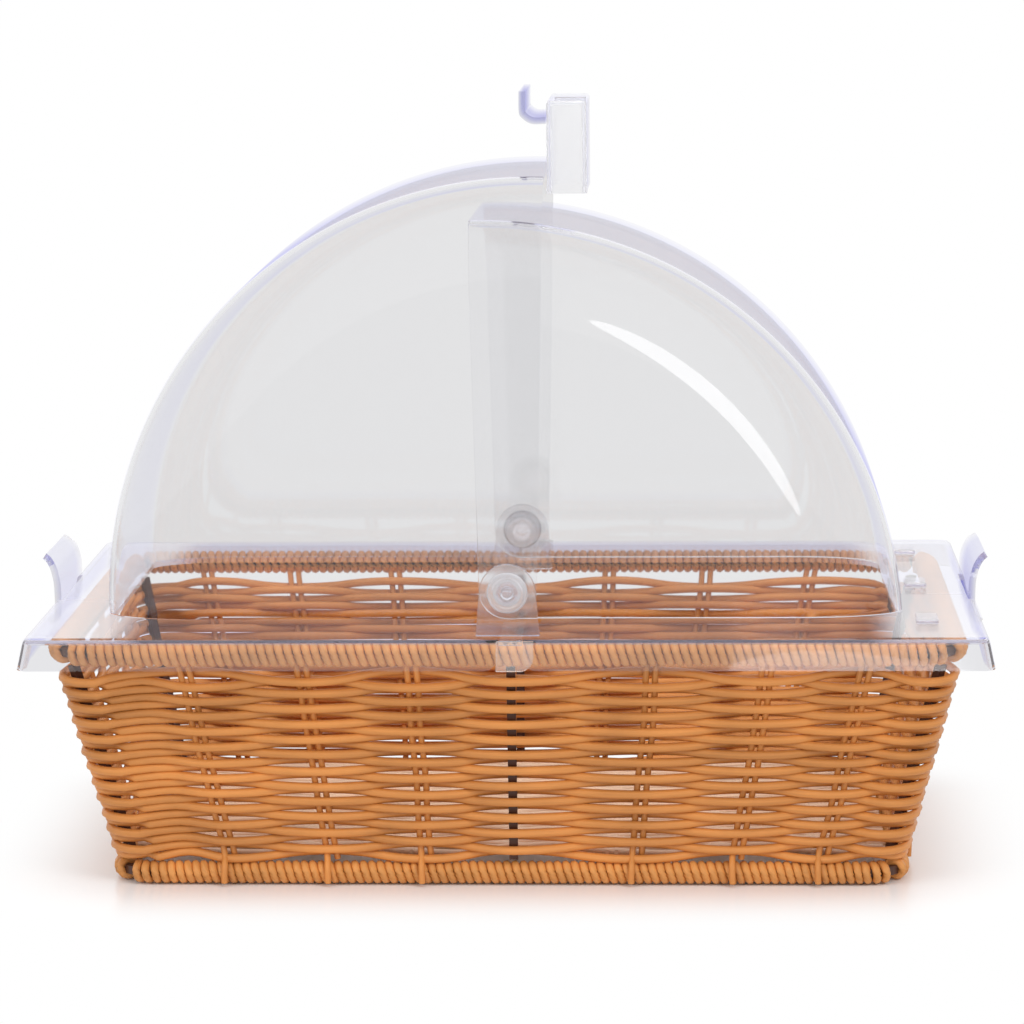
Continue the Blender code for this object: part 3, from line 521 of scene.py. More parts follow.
def strand_mesh():
    """An empty bmesh with the layers that strands carry."""
    mesh = bmesh.new()
    mesh.verts.layers.float.new("strand_tone")
    mesh.loops.layers.uv.new("UVMap")
    return mesh


def add_tube(mesh, rings, tone, sides, floor=None):
    """Sweep a round strand along rings given as (middle, first half axis, second half axis)."""
    lengths = [0.0]
    for before, after in zip(rings, rings[1:]):
        lengths.append(lengths[-1] + (after[0] - before[0]).length)
    steps = len(rings) - 1
    made = bmesh.ops.create_grid(mesh, x_segments=steps, y_segments=sides, size=0.5)
    tone_layer = mesh.verts.layers.float["strand_tone"]
    uv_layer = mesh.loops.layers.uv["UVMap"]
    faces = {face for vert in made["verts"] for face in vert.link_faces}
    for face in faces:
        for corner in face.loops:
            place = corner.vert.co
            corner[uv_layer].uv = (lengths[round((place.x + 0.5) * steps)], place.y + 0.5)
    for vert in made["verts"]:
        middle, first, second = rings[round((vert.co.x + 0.5) * steps)]
        angle = math.tau * (vert.co.y + 0.5)
        vert[tone_layer] = tone
        vert.co = middle + first * math.cos(angle) + second * math.sin(angle)
        if floor is not None:
            vert.co.z = max(vert.co.z, floor)


def rings_along(points, radius, up=Vector((0, 0, 1)), closed=False):
    """Rings of a round strand along points, each square to the path."""
    rings = []
    last = len(points) - 1
    for index, point in enumerate(points):
        before = points[index - 1] if index else (points[last - 1] if closed else points[0])
        after = points[index + 1] if index < last else (points[1] if closed else points[last])
        along = (after - before).normalized()
        first = along.cross(up).normalized()
        second = first.cross(along).normalized()
        rings.append((point, first * radius, second * radius))
    return rings


def smooth_path(points, steps):
    """A smooth curve through a few points."""
    padded = [points[0] * 2 - points[1], *points, points[-1] * 2 - points[-2]]
    result = []
    for index in range(1, len(padded) - 2):
        before, start, end, after = padded[index - 1:index + 3]
        for step in range(steps):
            share = step / steps
            lead = (end - before) / 2
            tail = (after - start) / 2
            sag = (start - end) * 2 + lead + tail
            bend = (end - start) * 3 - lead * 2 - tail
            result.append(start + lead * share + bend * share ** 2 + sag * share ** 3)
    result.append(points[-1].copy())
    return result


def jitter(seed, place, amount):
    """A small smooth deviation that is the same in every run."""
    return noise.noise(Vector((seed * 7.31, place, seed * 1.7))) * amount


def strand_tone(spot):
    """The tone of a strand, from 0 to 1, that is the same in every run."""
    return 0.5 + 0.5 * noise.noise(Vector(spot))


# The basket's plan


def level_size(z):
    """Half length, half width and corner radius of the wall's outside at a height."""
    share = (z - WALL_LOW.z) / (WALL_HIGH.z - WALL_LOW.z)
    foot_x = FOOT_HIGH.x - WALL_INSET
    foot_y = FOOT_HIGH.y - WALL_INSET
    return (foot_x + (WALL_HIGH.x - foot_x) * share, foot_y + (WALL_HIGH.y - foot_y) * share,
            WALL_CORNER + WALL_CORNER_GROWTH * share)


def ring_spot(half_x, half_y, corner, place):
    """Point and outward direction on a rounded rectangle: place runs from 0 to 8 by back, left, front
    and right, sides at even whole numbers and corners at odd ones."""
    place = place % 8
    part = int(place)
    share = place - part
    inner_x = half_x - corner
    inner_y = half_y - corner
    turn = part // 2
    if part % 2 == 0:
        starts = ((inner_x, half_y), (-half_x, inner_y), (-inner_x, -half_y), (half_x, -inner_y))
        ends = ((-inner_x, half_y), (-half_x, -inner_y), (inner_x, -half_y), (half_x, inner_y))
        start = Vector(starts[turn])
        end = Vector(ends[turn])
        angle = math.radians(90 + 90 * turn)
        point = start + (end - start) * share
    else:
        middles = ((-inner_x, inner_y), (-inner_x, -inner_y), (inner_x, -inner_y), (inner_x, inner_y))
        angle = math.radians(90 + 90 * turn + 90 * share)
        point = Vector(middles[turn]) + Vector((math.cos(angle), math.sin(angle))) * corner
    return point, Vector((math.cos(angle), math.sin(angle)))


def stake_places():
    """Places of the stakes round the ring, and whether a steel post stands there."""
    places = []
    for side in range(4):
        shares = LONG_STAKE_SHARES if side % 2 == 0 else SHORT_STAKE_SHARES
        places += [(side * 2 + share, share == POST_SHARE) for share in shares]
        places.append((side * 2 + 1.5, True))
    return places


def place_lengths():
    """Distance along the middle of the wall at each whole place, for even steps along a strand."""
    half_x, half_y, corner = level_size((WALL_LOW.z + WALL_HIGH.z) / 2)
    depth = bpy.context.scene.bread_bin.weave.depth
    corner_length = (corner - depth) * math.pi / 2
    lengths = [0.0]
    for part in range(8):
        side = (half_x - corner) * 2 if part % 4 == 0 else (half_y - corner) * 2
        lengths.append(lengths[-1] + (side if part % 2 == 0 else corner_length))
    return lengths


def to_length(lengths, place):
    """Distance along the ring at a place."""
    part = min(int(place), 7)
    return lengths[part] + (lengths[part + 1] - lengths[part]) * (place - part)


def to_place(lengths, distance):
    """Place at a distance along the ring."""
    distance = distance % lengths[-1]
    part = max(index for index in range(8) if lengths[index] <= distance)
    return part + (distance - lengths[part]) / (lengths[part + 1] - lengths[part])


def weave_steps():
    """Even steps through the weave: (place, phase, nearness to a steel post, corner), starting at the
    seam. Corner is the signed phase past a corner post, or None where no corner is near."""
    lengths = place_lengths()
    spots = [(to_length(lengths, place), post, place % 2 > 1) for place, post in stake_places()]
    spots.append((spots[0][0] + lengths[-1], *spots[0][1:]))
    result = []
    for index, (start, end) in enumerate(zip(spots, spots[1:])):
        for step in range(STEPS_TO_STAKE):
            share = step / STEPS_TO_STAKE
            distance = start[0] + (end[0] - start[0]) * share
            near = max(start[1] * (1 - share * 2), end[1] * (share * 2 - 1), 0.0)
            corner = share if start[2] else (share - 1 if end[2] else None)
            result.append((to_place(lengths, distance), index + share, near ** 0.5, corner))
    result.append((result[0][0], STAKE_COUNT, *result[0][2:]))
    return result


def row_wave(row, phase, corner, place):
    """How far out a row stands, from -1 inside a stake to 1 outside it, and what is added in metres.
    Every row passes outside a corner post: one half peaks towards the long side, the other towards the
    short side."""
    wave = math.cos(math.pi * (phase + row))
    extra = 0.0
    if corner is not None:
        inner = math.cos(math.pi * (round(phase - corner) + row)) < 0
        turn = 1 if int(place) % 4 in (0, 1) else -1
        lag = CORNER_LAG * turn * (1 - corner ** 2)
        reach = max(1 - abs(corner) * 2, 0.0) ** 0.5
        if inner:
            return INNER_LEVEL + INNER_SWING * math.cos(math.tau * (corner - lag)), INNER_OUT * reach
        wave = math.cos(math.pi * (corner + lag))
        extra = CORNER_OUT * reach
    return math.copysign(abs(wave) ** WAVE_POWER, wave), extra


class BREADBIN_OT_weave(bpy.types.Operator):
    """Weave the basket's wall of round strands over pairs of stakes"""

    bl_idname = "bread_bin.weave"
    bl_label = "Weave the wall"

    def execute(self, context):
        settings = context.scene.bread_bin
        weave = settings.weave
        if weave.rows < 2:
            raise RuntimeError("The wall needs two rows at least")
        finish = strand_finish("woven_polyrattan_extruded", settings.colours.weaver, dark_share=0.55)
        steps = weave_steps()
        mid = weave.depth
        low = WALL_LOW.z + weave.weaver * FIRST_ROW
        pitch = (WALL_HIGH.z - weave.weaver * LAST_ROW - low) / (weave.rows - 1)
        mesh = strand_mesh()
        for row in range(weave.rows):
            base = low + pitch * row
            from_top = weave.rows - 1 - row
            dip = DIP + RIM_DIP * math.exp(-from_top / RIM_ROWS) + FOOT_DIP * math.exp(-row / FOOT_ROWS)
            points = []
            for place, phase, near, corner_phase in steps:
                wave, extra = row_wave(row, phase, corner_phase, place)
                swing = weave.swing + POST_SWING * near
                turn = phase % STAKE_COUNT
                z = base - dip * (wave + DIP_LEVEL) / (1 + DIP_LEVEL)
                z += jitter(row + 3, turn * 0.9, ROW_RISE)
                half_x, half_y, corner = level_size(z)
                point, out = ring_spot(half_x - mid, half_y - mid, max(corner - mid, LEAST_CORNER), place)
                point += out * (swing * wave + extra + jitter(row + 40, turn * 1.3, ROW_DRIFT))
                points.append(Vector((point.x, point.y, z)))
            points[-1] = points[0].copy()
            rings = rings_along(points, weave.weaver / 2, closed=True)
            add_tube(mesh, rings, strand_tone((row * 3.7, 1.3, 0.4)), sides=10)
        finish_strands("woven_wall", mesh, finish, "basket_wall")
        self.make_stakes(weave, finish)
        return {"FINISHED"}

    def make_stakes(self, weave, finish):
        """The pairs of upright strands, one of which runs down over the foot coil."""
        mesh = strand_mesh()
        for index, (place, post) in enumerate(stake_places()):
            if post:
                continue
            for side in (-1, 1):
                depths = list(STAKE_OVER_FOOT) if side < 0 else [(STAKE_END, weave.depth)]
                depths += [(STAKE_LOW + (STAKE_HIGH - STAKE_LOW) * step / STAKE_STEPS, weave.depth)
                           for step in range(STAKE_STEPS + 1)]
                path = []
                for z, depth in depths:
                    half_x, half_y, corner = level_size(z)
                    if z < STAKE_END:
                        half_x, half_y, corner = FOOT_HIGH.x, FOOT_HIGH.y, FOOT_CORNER
                    point, out = ring_spot(half_x - depth, half_y - depth, corner - depth, place)
                    point += Vector((-out.y, out.x)) * side * weave.stake_gap / 2
                    point += Vector((jitter(index + 5, z * 30, STAKE_DRIFT),
                                     jitter(index + 9, z * 30, STAKE_SWAY)))
                    path.append(Vector((point.x, point.y, z)))
                rings = rings_along(smooth_path(path, 3), weave.stake / 2, up=Vector((-out.y, out.x, 0.0)))
                add_tube(mesh, rings, strand_tone((index * 1.9, side, 5.0)), sides=7)
        finish_strands("woven_stakes", mesh, finish, "basket_wall")


class BREADBIN_OT_coils(bpy.types.Operator):
    """Wind the strand around the steel rings of the rim and the foot, and paint the steel"""

    bl_idname = "bread_bin.coils"
    bl_label = "Wind the rim and the foot"

    def execute(self, context):
        settings = context.scene.bread_bin
        weave = settings.weave
        finish = strand_finish("wound_polyrattan_extruded", settings.colours.coil, dark_share=0.6)
        self.wind("rim", RIM_CORNER, RIM_HALF_WIDTH, weave.rim_pitch, finish, None)
        self.wind("foot", FOOT_CORNER, FOOT_HALF_WIDTH, weave.foot_pitch, finish, 0.0)
        steel = steel_finish(settings.colours.steel)
        for name in sorted(frame["nodes"]):
            if name.startswith("frame_post") or name.endswith("_ring"):
                dress(frame["nodes"][name], steel)
        return {"FINISHED"}

    def wind(self, word, corner, half_width, pitch, finish, floor):
        """Four runs of turns, one along each side, which leave the ring bare at the corners' middles."""
        weave = bpy.context.scene.bread_bin.weave
        low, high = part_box(word + "_wrap")
        radius = weave.coil / 2
        across = half_width - radius
        tall = (high.z - low.z) / 2 - radius
        middle_z = (high.z + low.z) / 2
        half_x = high.x - half_width
        half_y = high.y - half_width
        bend = corner - half_width
        quarter = bend * math.pi / 2
        mesh = strand_mesh()
        for side in range(4):
            straight = ((half_x if side % 2 == 0 else half_y) - bend) * 2
            whole = straight + quarter - weave.coil_gap
            turns = round(whole / pitch)
            points = []
            for step in range(turns * TURN_STEPS + 1):
                turn = step / TURN_STEPS
                distance = whole * turn / turns - whole / 2
                angle = math.tau * (turn + TURN_START)
                out = across * math.cos(angle)
                rise = -tall * math.sin(angle)
                slant = TURN_SLANT * (1 - (abs(distance) / (whole / 2)) ** 6 * SLANT_LOSS)
                distance = distance - rise * slant + jitter(side, turn, TURN_DRIFT)
                excess = abs(distance) - straight / 2
                place = side * 2 + 0.5 + distance / straight
                if excess > 0:
                    place = side * 2 + 0.5 + math.copysign(0.5 + excess / quarter, distance)
                point, away = ring_spot(half_x, half_y, bend, place)
                point += away * out
                points.append(Vector((point.x, point.y, middle_z + rise)))
            add_tube(mesh, rings_along(points, radius), 0.5, sides=7, floor=floor)
        tone_layer = mesh.verts.layers.float["strand_tone"]
        for vert in mesh.verts:
            vert[tone_layer] = strand_tone(Vector((vert.co.x, vert.co.y, 0.0)) * TONE_SPOTS)
        finish_strands("wound_" + word, mesh, finish, word + "_wrap")


class BREADBIN_OT_floor(bpy.types.Operator):
    """Weave the basket's pale floor"""

    bl_idname = "bread_bin.floor"
    bl_label = "Weave the floor"

    def execute(self, context):
        settings = context.scene.bread_bin
        weave = settings.weave
        finish = strand_finish("pale_polyrattan_extruded", settings.colours.floor, dark_share=0.72)
        low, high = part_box("basket_floor")
        middle_z = (low.z + high.z) / 2
        half_x = high.x - FLOOR_INSET
        half_y = high.y - FLOOR_INSET
        mesh = strand_mesh()
        rows = round(half_y * 2 / weave.floor_pitch)
        for row in range(rows):
            y = -half_y + half_y * 2 * (row + 0.5) / rows
            reach = corner_reach(half_x, half_y, y)
            steps = round(reach * 2 / FLOOR_STEP)
            points = []
            for step in range(steps + 1):
                x = -reach + reach * 2 * step / steps
                wave = math.sin(math.pi * (x / FLOOR_STAKE_PITCH + row))
                points.append(Vector((x, y + jitter(row, x * 9, FLOOR_DRIFT), middle_z + wave * FLOOR_WAVE)))
            rings = rings_along(points, weave.floor_strand / 2)
            add_tube(mesh, rings, strand_tone((row * 2.3, 0.2, 9.0)), sides=6)
        count = round(half_x * 2 / FLOOR_STAKE_PITCH)
        for index in range(count):
            x = (index - (count - 1) / 2) * FLOOR_STAKE_PITCH
            for side in (-1, 1):
                place = x + side * weave.stake_gap / 2
                reach = corner_reach(half_y, half_x, place)
                points = [Vector((place, -reach + reach * 2 * step / 8, middle_z)) for step in range(9)]
                add_tube(mesh, rings_along(points, weave.stake * 0.4), 0.5, sides=6)
        finish_strands("woven_floor", mesh, finish, "basket_floor")
        return {"FINISHED"}


def corner_reach(half_x, half_y, y):
    """Half the length of a slice of the floor's rounded rectangle at a distance from its middle line."""
    beyond = abs(y) - (half_y - FLOOR_CORNER)
    if beyond <= 0:
        return half_x
    return half_x - FLOOR_CORNER + math.sqrt(max(FLOOR_CORNER ** 2 - min(beyond, FLOOR_CORNER) ** 2, 0.0))


# The clear cover


def reaches(node, axis):
    """The smaller and the larger distance of a node's two ends from the middle, along an axis."""
    low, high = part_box(node)
    return sorted((abs(low[axis]), abs(high[axis])))


def arc(middle, radii, start, end, steps):
    """Points on part of an ellipse, both ends included, with angles in degrees."""
    points = []
    for index in range(steps + 1):
        angle = math.radians(start + (end - start) * index / steps)
        points.append(Vector((middle[0] + radii[0] * math.cos(angle),
                              middle[1] + radii[1] * math.sin(angle))))
    return points


def add_loop(mesh, spots, closed=True):
    """Vertices at spots, joined by edges."""
    verts = [mesh.verts.new(spot) for spot in spots]
    pairs = list(zip(verts, verts[1:]))
    if closed:
        pairs.append((verts[-1], verts[0]))
    return verts, [mesh.edges.new(pair) for pair in pairs]


def cut_along(mesh, spots, inside, across="Y"):
    """Cut a mesh by the planes through a convex line, on the side away from a point.

    The line's spots are X and Z where the planes run across Y, and Y and Z where they run across X.
    """
    for start, end in zip(spots, spots[1:]):
        along = (end - start).normalized()
        normal = Vector((along.y, -along.x))
        if normal.dot(inside - start) > 0:
            normal = -normal
        spot, way = ((flat.x, 0.0, flat.y) if across == "Y" else (0.0, *flat) for flat in (start, normal))
        geometry = list(mesh.verts) + list(mesh.edges) + list(mesh.faces)
        bmesh.ops.bisect_plane(mesh, geom=geometry, dist=MERGE, plane_co=spot, plane_no=way,
                               clear_outer=True, clear_inner=False)


def fill_loop(mesh, verts):
    """Fill a flat outline by one face, adding the edges it lacks."""
    edges = []
    for pair in zip(verts, verts[1:] + verts[:1]):
        edges.append(mesh.edges.get(pair) or mesh.edges.new(pair))
    return bmesh.ops.contextual_create(mesh, geom=edges)["faces"]


def fill_around(mesh, outline, first, second):
    """Fill a flat outline around the stud's hole by two faces, which meet at two places of the outline."""
    y = outline[0].co.y
    ring = bmesh.ops.create_circle(mesh, cap_ends=False, radius=BORE_RADIUS, segments=40)["verts"]
    for vert in ring:
        vert.co = Vector((vert.co.x, y, HINGE_Z + vert.co.y))
    ring.sort(key=lambda vert: math.atan2(vert.co.z - HINGE_Z, vert.co.x))
    ends = [min(ring, key=lambda vert: (vert.co - outline[place].co).length) for place in (first, second)]
    start = ring.index(ends[1])
    around = ring[start:] + ring[:start]
    reach = around.index(ends[0])
    paths = [around[:reach + 1], around[:1] + around[reach:][::-1]]
    near_part = outline[first:second + 1]
    far_part = outline[second:] + outline[:first + 1]
    middle = near_part[len(near_part) // 2].co
    paths.sort(key=lambda path: (path[len(path) // 2].co - middle).length)
    return fill_loop(mesh, near_part + paths[0]) + fill_loop(mesh, far_part + paths[1][::-1])


def add_plate(mesh, spots, shift, hole=False):
    """A flat plate: an outline, with the stud's hole under its arc if told, extruded by a shift."""
    verts = add_loop(mesh, spots)[0]
    faces = fill_around(mesh, verts, 2, len(verts) - 1) if hole else fill_loop(mesh, verts)
    moved = new_verts(bmesh.ops.extrude_face_region(mesh, geom=faces, use_keep_orig=True))
    bmesh.ops.translate(mesh, verts=moved, vec=shift)
    return verts + moved


def hood_arc(word):
    """Radius, height of the arc's centre, its shift, half depth and foot of a hood, from its node's box."""
    cover = bpy.context.scene.bread_bin.cover
    low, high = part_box(word + "_hood")
    shift = getattr(cover, word + "_shift")
    radius = max(-low.x, high.x) + shift
    return radius, high.z - radius, shift, high.y, low.z


def hood_profile(radius, half_depth, across, along, steps):
    """Points (radius, y) of a hood's section from one flat wall over the crown to the other."""
    profile = arc((radius - across, along - half_depth), (across, along), -90, 0, steps)
    return profile + arc((radius - across, half_depth - along), (across, along), 0, 90, steps)


class BREADBIN_OT_hoods(bpy.types.Operator):
    """Build the two clear hoods, each a quarter of a round body with soft corners"""

    bl_idname = "bread_bin.hoods"
    bl_label = "Build the hoods"

    def execute(self, context):
        cover = context.scene.bread_bin.cover
        for side, word in HALVES:
            finish_half(word, "hood", self.surface(cover, side, word), "vacuum_formed",
                        cover.wall, cover.edge)
        return {"FINISHED"}

    def surface(self, cover, side, word):
        """The outside of a hood as an open surface."""
        radius, arc_z, shift, half_depth, low = hood_arc(word)
        profile = hood_profile(radius, half_depth, cover.across, cover.along, 16)
        middle = Vector((-side * shift, arc_z))
        centre = (middle.x, 0.0, middle.y)
        mesh = bmesh.new()
        spots = [(middle.x + side * spot.x, spot.y, middle.y) for spot in profile]
        verts, edges = add_loop(mesh, spots, closed=False)
        bmesh.ops.rotate(mesh, verts=verts, cent=centre,
                         matrix=Matrix.Rotation(side * math.radians(ARC_START), 3, "Y"))
        bmesh.ops.spin(mesh, geom=verts + edges, cent=centre, axis=(0, -side, 0),
                       angle=math.radians(ARC_SWEEP), steps=round(cover.steps * ARC_SWEEP / 90))
        lobe = HINGE_Z - low
        line = [Vector((-side * spot.x, spot.y)) for spot in arc((0.0, HINGE_Z), (lobe, lobe), -90, 0, 10)]
        line.append(Vector((-side * (lobe + cover.lean), arc_z + radius + cover.wall)))
        inside = Vector((side * radius / 2, HINGE_Z + lobe))
        cut_along(mesh, [Vector((side * radius, low)), Vector((0.0, low))], inside)
        cut_along(mesh, line, inside)
        for front in (-1, 1):
            self.fill_side(mesh, front * half_depth, line, middle, side)
        bmesh.ops.remove_doubles(mesh, verts=mesh.verts, dist=HAIR)
        outward(mesh, Vector((inside.x, 0.0, inside.y)))
        return mesh

    def fill_side(self, mesh, y, line, middle, side):
        """A flat side wall between the round corner, the foot and the middle edge, with the stud's hole."""
        rim = [vert for vert in mesh.verts if abs(vert.co.y - y) < NEAR]
        rim.sort(key=lambda vert: math.atan2(vert.co.z - middle.y, side * (vert.co.x - middle.x)))
        verts = rim + [mesh.verts.new((spot.x, y, spot.y)) for spot in line[-2::-1]]
        fill_around(mesh, verts, len(rim), len(verts) - 1)


class BREADBIN_OT_flanges(bpy.types.Operator):
    """Build the two clear half flanges with their flared skirts, and the pads on the inner one"""

    bl_idname = "bread_bin.flanges"
    bl_label = "Build the flanges"

    def execute(self, context):
        cover = context.scene.bread_bin.cover
        for side, word in HALVES:
            finish_half(word, "flange", self.surface(cover, side, word), "pressed",
                        cover.wall, cover.edge)
        self.make_pads()
        return {"FINISHED"}

    def surface(self, cover, side, word):
        """The outside of a half flange as an open surface: top plate and skirt."""
        low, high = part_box(word + "_flange")
        end, far = reaches(word + "_flange", 0)
        far_x = far - cover.flare
        far_y = high.y - cover.flare
        notch_x = reaches(word + "_handle", 0)[0] - PLAY_X
        notch_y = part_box(word + "_handle")[1].y + PLAY_Y
        corner = cover.flange_corner
        radius, arc_z, shift, half_depth, foot = hood_arc(word)
        wall = cover.wall
        room = hood_profile(radius - wall, half_depth - wall, cover.across - wall, cover.along - wall, 10)
        room_y = half_depth - wall
        strip_y = far_y - cover.flange_strip
        spots = [(end, -far_y)]
        spots += [*arc((far_x - corner, corner - far_y), (corner, corner), -90, 0, CORNER_STEPS),
                  (far_x, -notch_y)]
        run = len(spots)
        spots += [(notch_x, -notch_y), (notch_x, notch_y), (far_x, notch_y)]
        second = len(spots) - 1
        spots += [*arc((far_x - corner, far_y - corner), (corner, corner), 0, 90, CORNER_STEPS), (end, far_y)]
        last = len(spots)
        spots += [(end, strip_y), (cover.recess, strip_y), (cover.recess, room_y)]
        spots += [(math.sqrt(spot.x ** 2 - (arc_z - foot) ** 2) - shift, spot.y) for spot in room[::-1]]
        spots += [(cover.recess, -room_y), (cover.recess, -strip_y), (end, -strip_y)]
        mesh = bmesh.new()
        verts, edges = add_loop(mesh, [(side * x, y, FLANGE_HIGH.z) for x, y in spots])
        fill_loop(mesh, verts)
        edge_runs = edges[:run - 1] + edges[second:last - 1]
        for vert in new_verts(bmesh.ops.extrude_edge_only(mesh, edges=edge_runs)):
            if abs(vert.co.x) > far_x - corner + NEAR:
                vert.co.x += side * cover.flare
            if abs(vert.co.y) > far_y - corner + NEAR:
                vert.co.y += math.copysign(cover.flare, vert.co.y)
            vert.co.z = low.z
        bmesh.ops.bevel(mesh, geom=edge_runs, offset=cover.flange_edge, segments=4, affect="EDGES",
                        profile=0.5, material=-1, offset_type="OFFSET", clamp_overlap=True)
        bend = cover.skirt_corner
        turn = arc((end + bend, low.z + bend), (bend, bend), 180, 270, CORNER_STEPS)
        cut_along(mesh, [Vector((side * spot.x, spot.y)) for spot in turn],
                  Vector((side * far_x / 2, FLANGE_HIGH.z)))
        outward(mesh, Vector((0.0, 0.0, 0.0)))
        return mesh

    def make_pads(self):
        """Three low pads on the inner half flange."""
        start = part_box("inner_hood")[1].x + PAD_GAP
        top = FLANGE_HIGH.z + PAD_LIFT
        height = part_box("inner_flange")[1].z - top
        mesh = bmesh.new()
        for row in (-1, 0, 1):
            near_y = row * PAD_ROW - PAD_HALF_WIDTH
            far_y = row * PAD_ROW + PAD_HALF_WIDTH
            spots = [(start, near_y, top), (start + PAD_LENGTH, near_y, top),
                     (start + PAD_LENGTH, far_y, top), (start, far_y, top)]
            add_plate(mesh, spots, (0.0, 0.0, height))
        tidy(mesh)
        pads = finish_piece("clear_flange_pads", mesh, clear_finish("moulded_hazy"), "inner_cover",
                            "inner_flange")
        round_edges(pads, PAD_EDGE)


class BREADBIN_OT_handles(bpy.types.Operator):
    """Build the end handles and the grip at the crown"""

    bl_idname = "bread_bin.handles"
    bl_label = "Build the handles"

    def execute(self, context):
        cover = context.scene.bread_bin.cover
        for side, word in HALVES:
            web = reaches(word + "_handle", 0)[0] + PLAY_X + cover.strip / 2
            foot = FLANGE_HIGH.z - HANDLE_FOOT
            lip = FLANGE_HIGH.z + HANDLE_LIP
            route = [Vector((web + out, foot + rise)) for out, rise in FOOT_ROUTE]
            route += [Vector((web + out, lip + rise)) for out, rise in LIP_ROUTE]
            spots = [Vector((side * spot.x, spot.y)) for spot in smooth_path(route, 8)]
            mesh = self.strip(spots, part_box(word + "_handle")[1].y, lip + cover.strip / 2, HANDLE_CORNER)
            finish_half(word, "handle", mesh, "injection_moulded", cover.strip,
                        HANDLE_EDGE, 0.0)
        self.make_grip(cover)
        return {"FINISHED"}

    def strip(self, spots, half, high=0.0, corner=0.0):
        """A strip along a route in X and Z, as wide as it is told, its upper corners rounded."""
        mesh = bmesh.new()
        edges = add_loop(mesh, [(spot.x, -half, spot.y) for spot in spots], closed=False)[1]
        moved = new_verts(bmesh.ops.extrude_edge_only(mesh, edges=edges))
        bmesh.ops.translate(mesh, verts=moved, vec=(0.0, half * 2, 0.0))
        if corner:
            inside = Vector((0.0, high - corner))
            for y, start in ((half - corner, 0), (corner - half, 90)):
                bend = arc((y, high - corner), (corner, corner), start, start + 90, CORNER_STEPS)
                cut_along(mesh, bend, inside, "X")
        bmesh.ops.recalc_face_normals(mesh, faces=mesh.faces)
        return mesh

    def make_grip(self, cover):
        """The grip at the crown: a post, open below, and a hook towards the left."""
        low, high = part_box("top_grip")
        left = high.x - POST_BREADTH
        post_high = high.z - POST_DROP
        mesh = bmesh.new()
        cube = bmesh.ops.create_cube(mesh, size=1.0)["verts"]
        bmesh.ops.scale(mesh, verts=cube, vec=(high.x - left, high.y * 2, post_high - low.z))
        bmesh.ops.translate(mesh, verts=cube, vec=((high.x + left) / 2, 0.0, (post_high + low.z) / 2))
        under = [face for face in mesh.faces if face.normal.z < -0.5]
        bmesh.ops.delete(mesh, geom=under, context="FACES_ONLY")
        upright = [edge for edge in mesh.edges if not edge.is_boundary]
        bmesh.ops.bevel(mesh, geom=upright, offset=POST_CORNER, segments=4, affect="EDGES", profile=0.5,
                        material=-1, offset_type="OFFSET", clamp_overlap=True)
        bmesh.ops.recalc_face_normals(mesh, faces=mesh.faces)
        post = finish_piece("clear_grip_post", mesh, clear_finish("moulded_hazy"), "outer_cover",
                            "top_grip")
        add_wall(post, cover.wall, cover.edge)
        level = post_high - HOOK_DROP
        tip = left - HOOK_REACH
        route = [Vector((left - HOOK_GAP, level))]
        route += [Vector((tip + out, level + rise)) for out, rise in HOOK_ROUTE]
        hook = finish_piece("clear_grip_hook", self.strip(smooth_path(route, 8), high.y),
                            clear_finish("injection_moulded"), "outer_cover",
                            "top_grip")
        add_wall(hook, cover.strip, HANDLE_EDGE, 0.0)


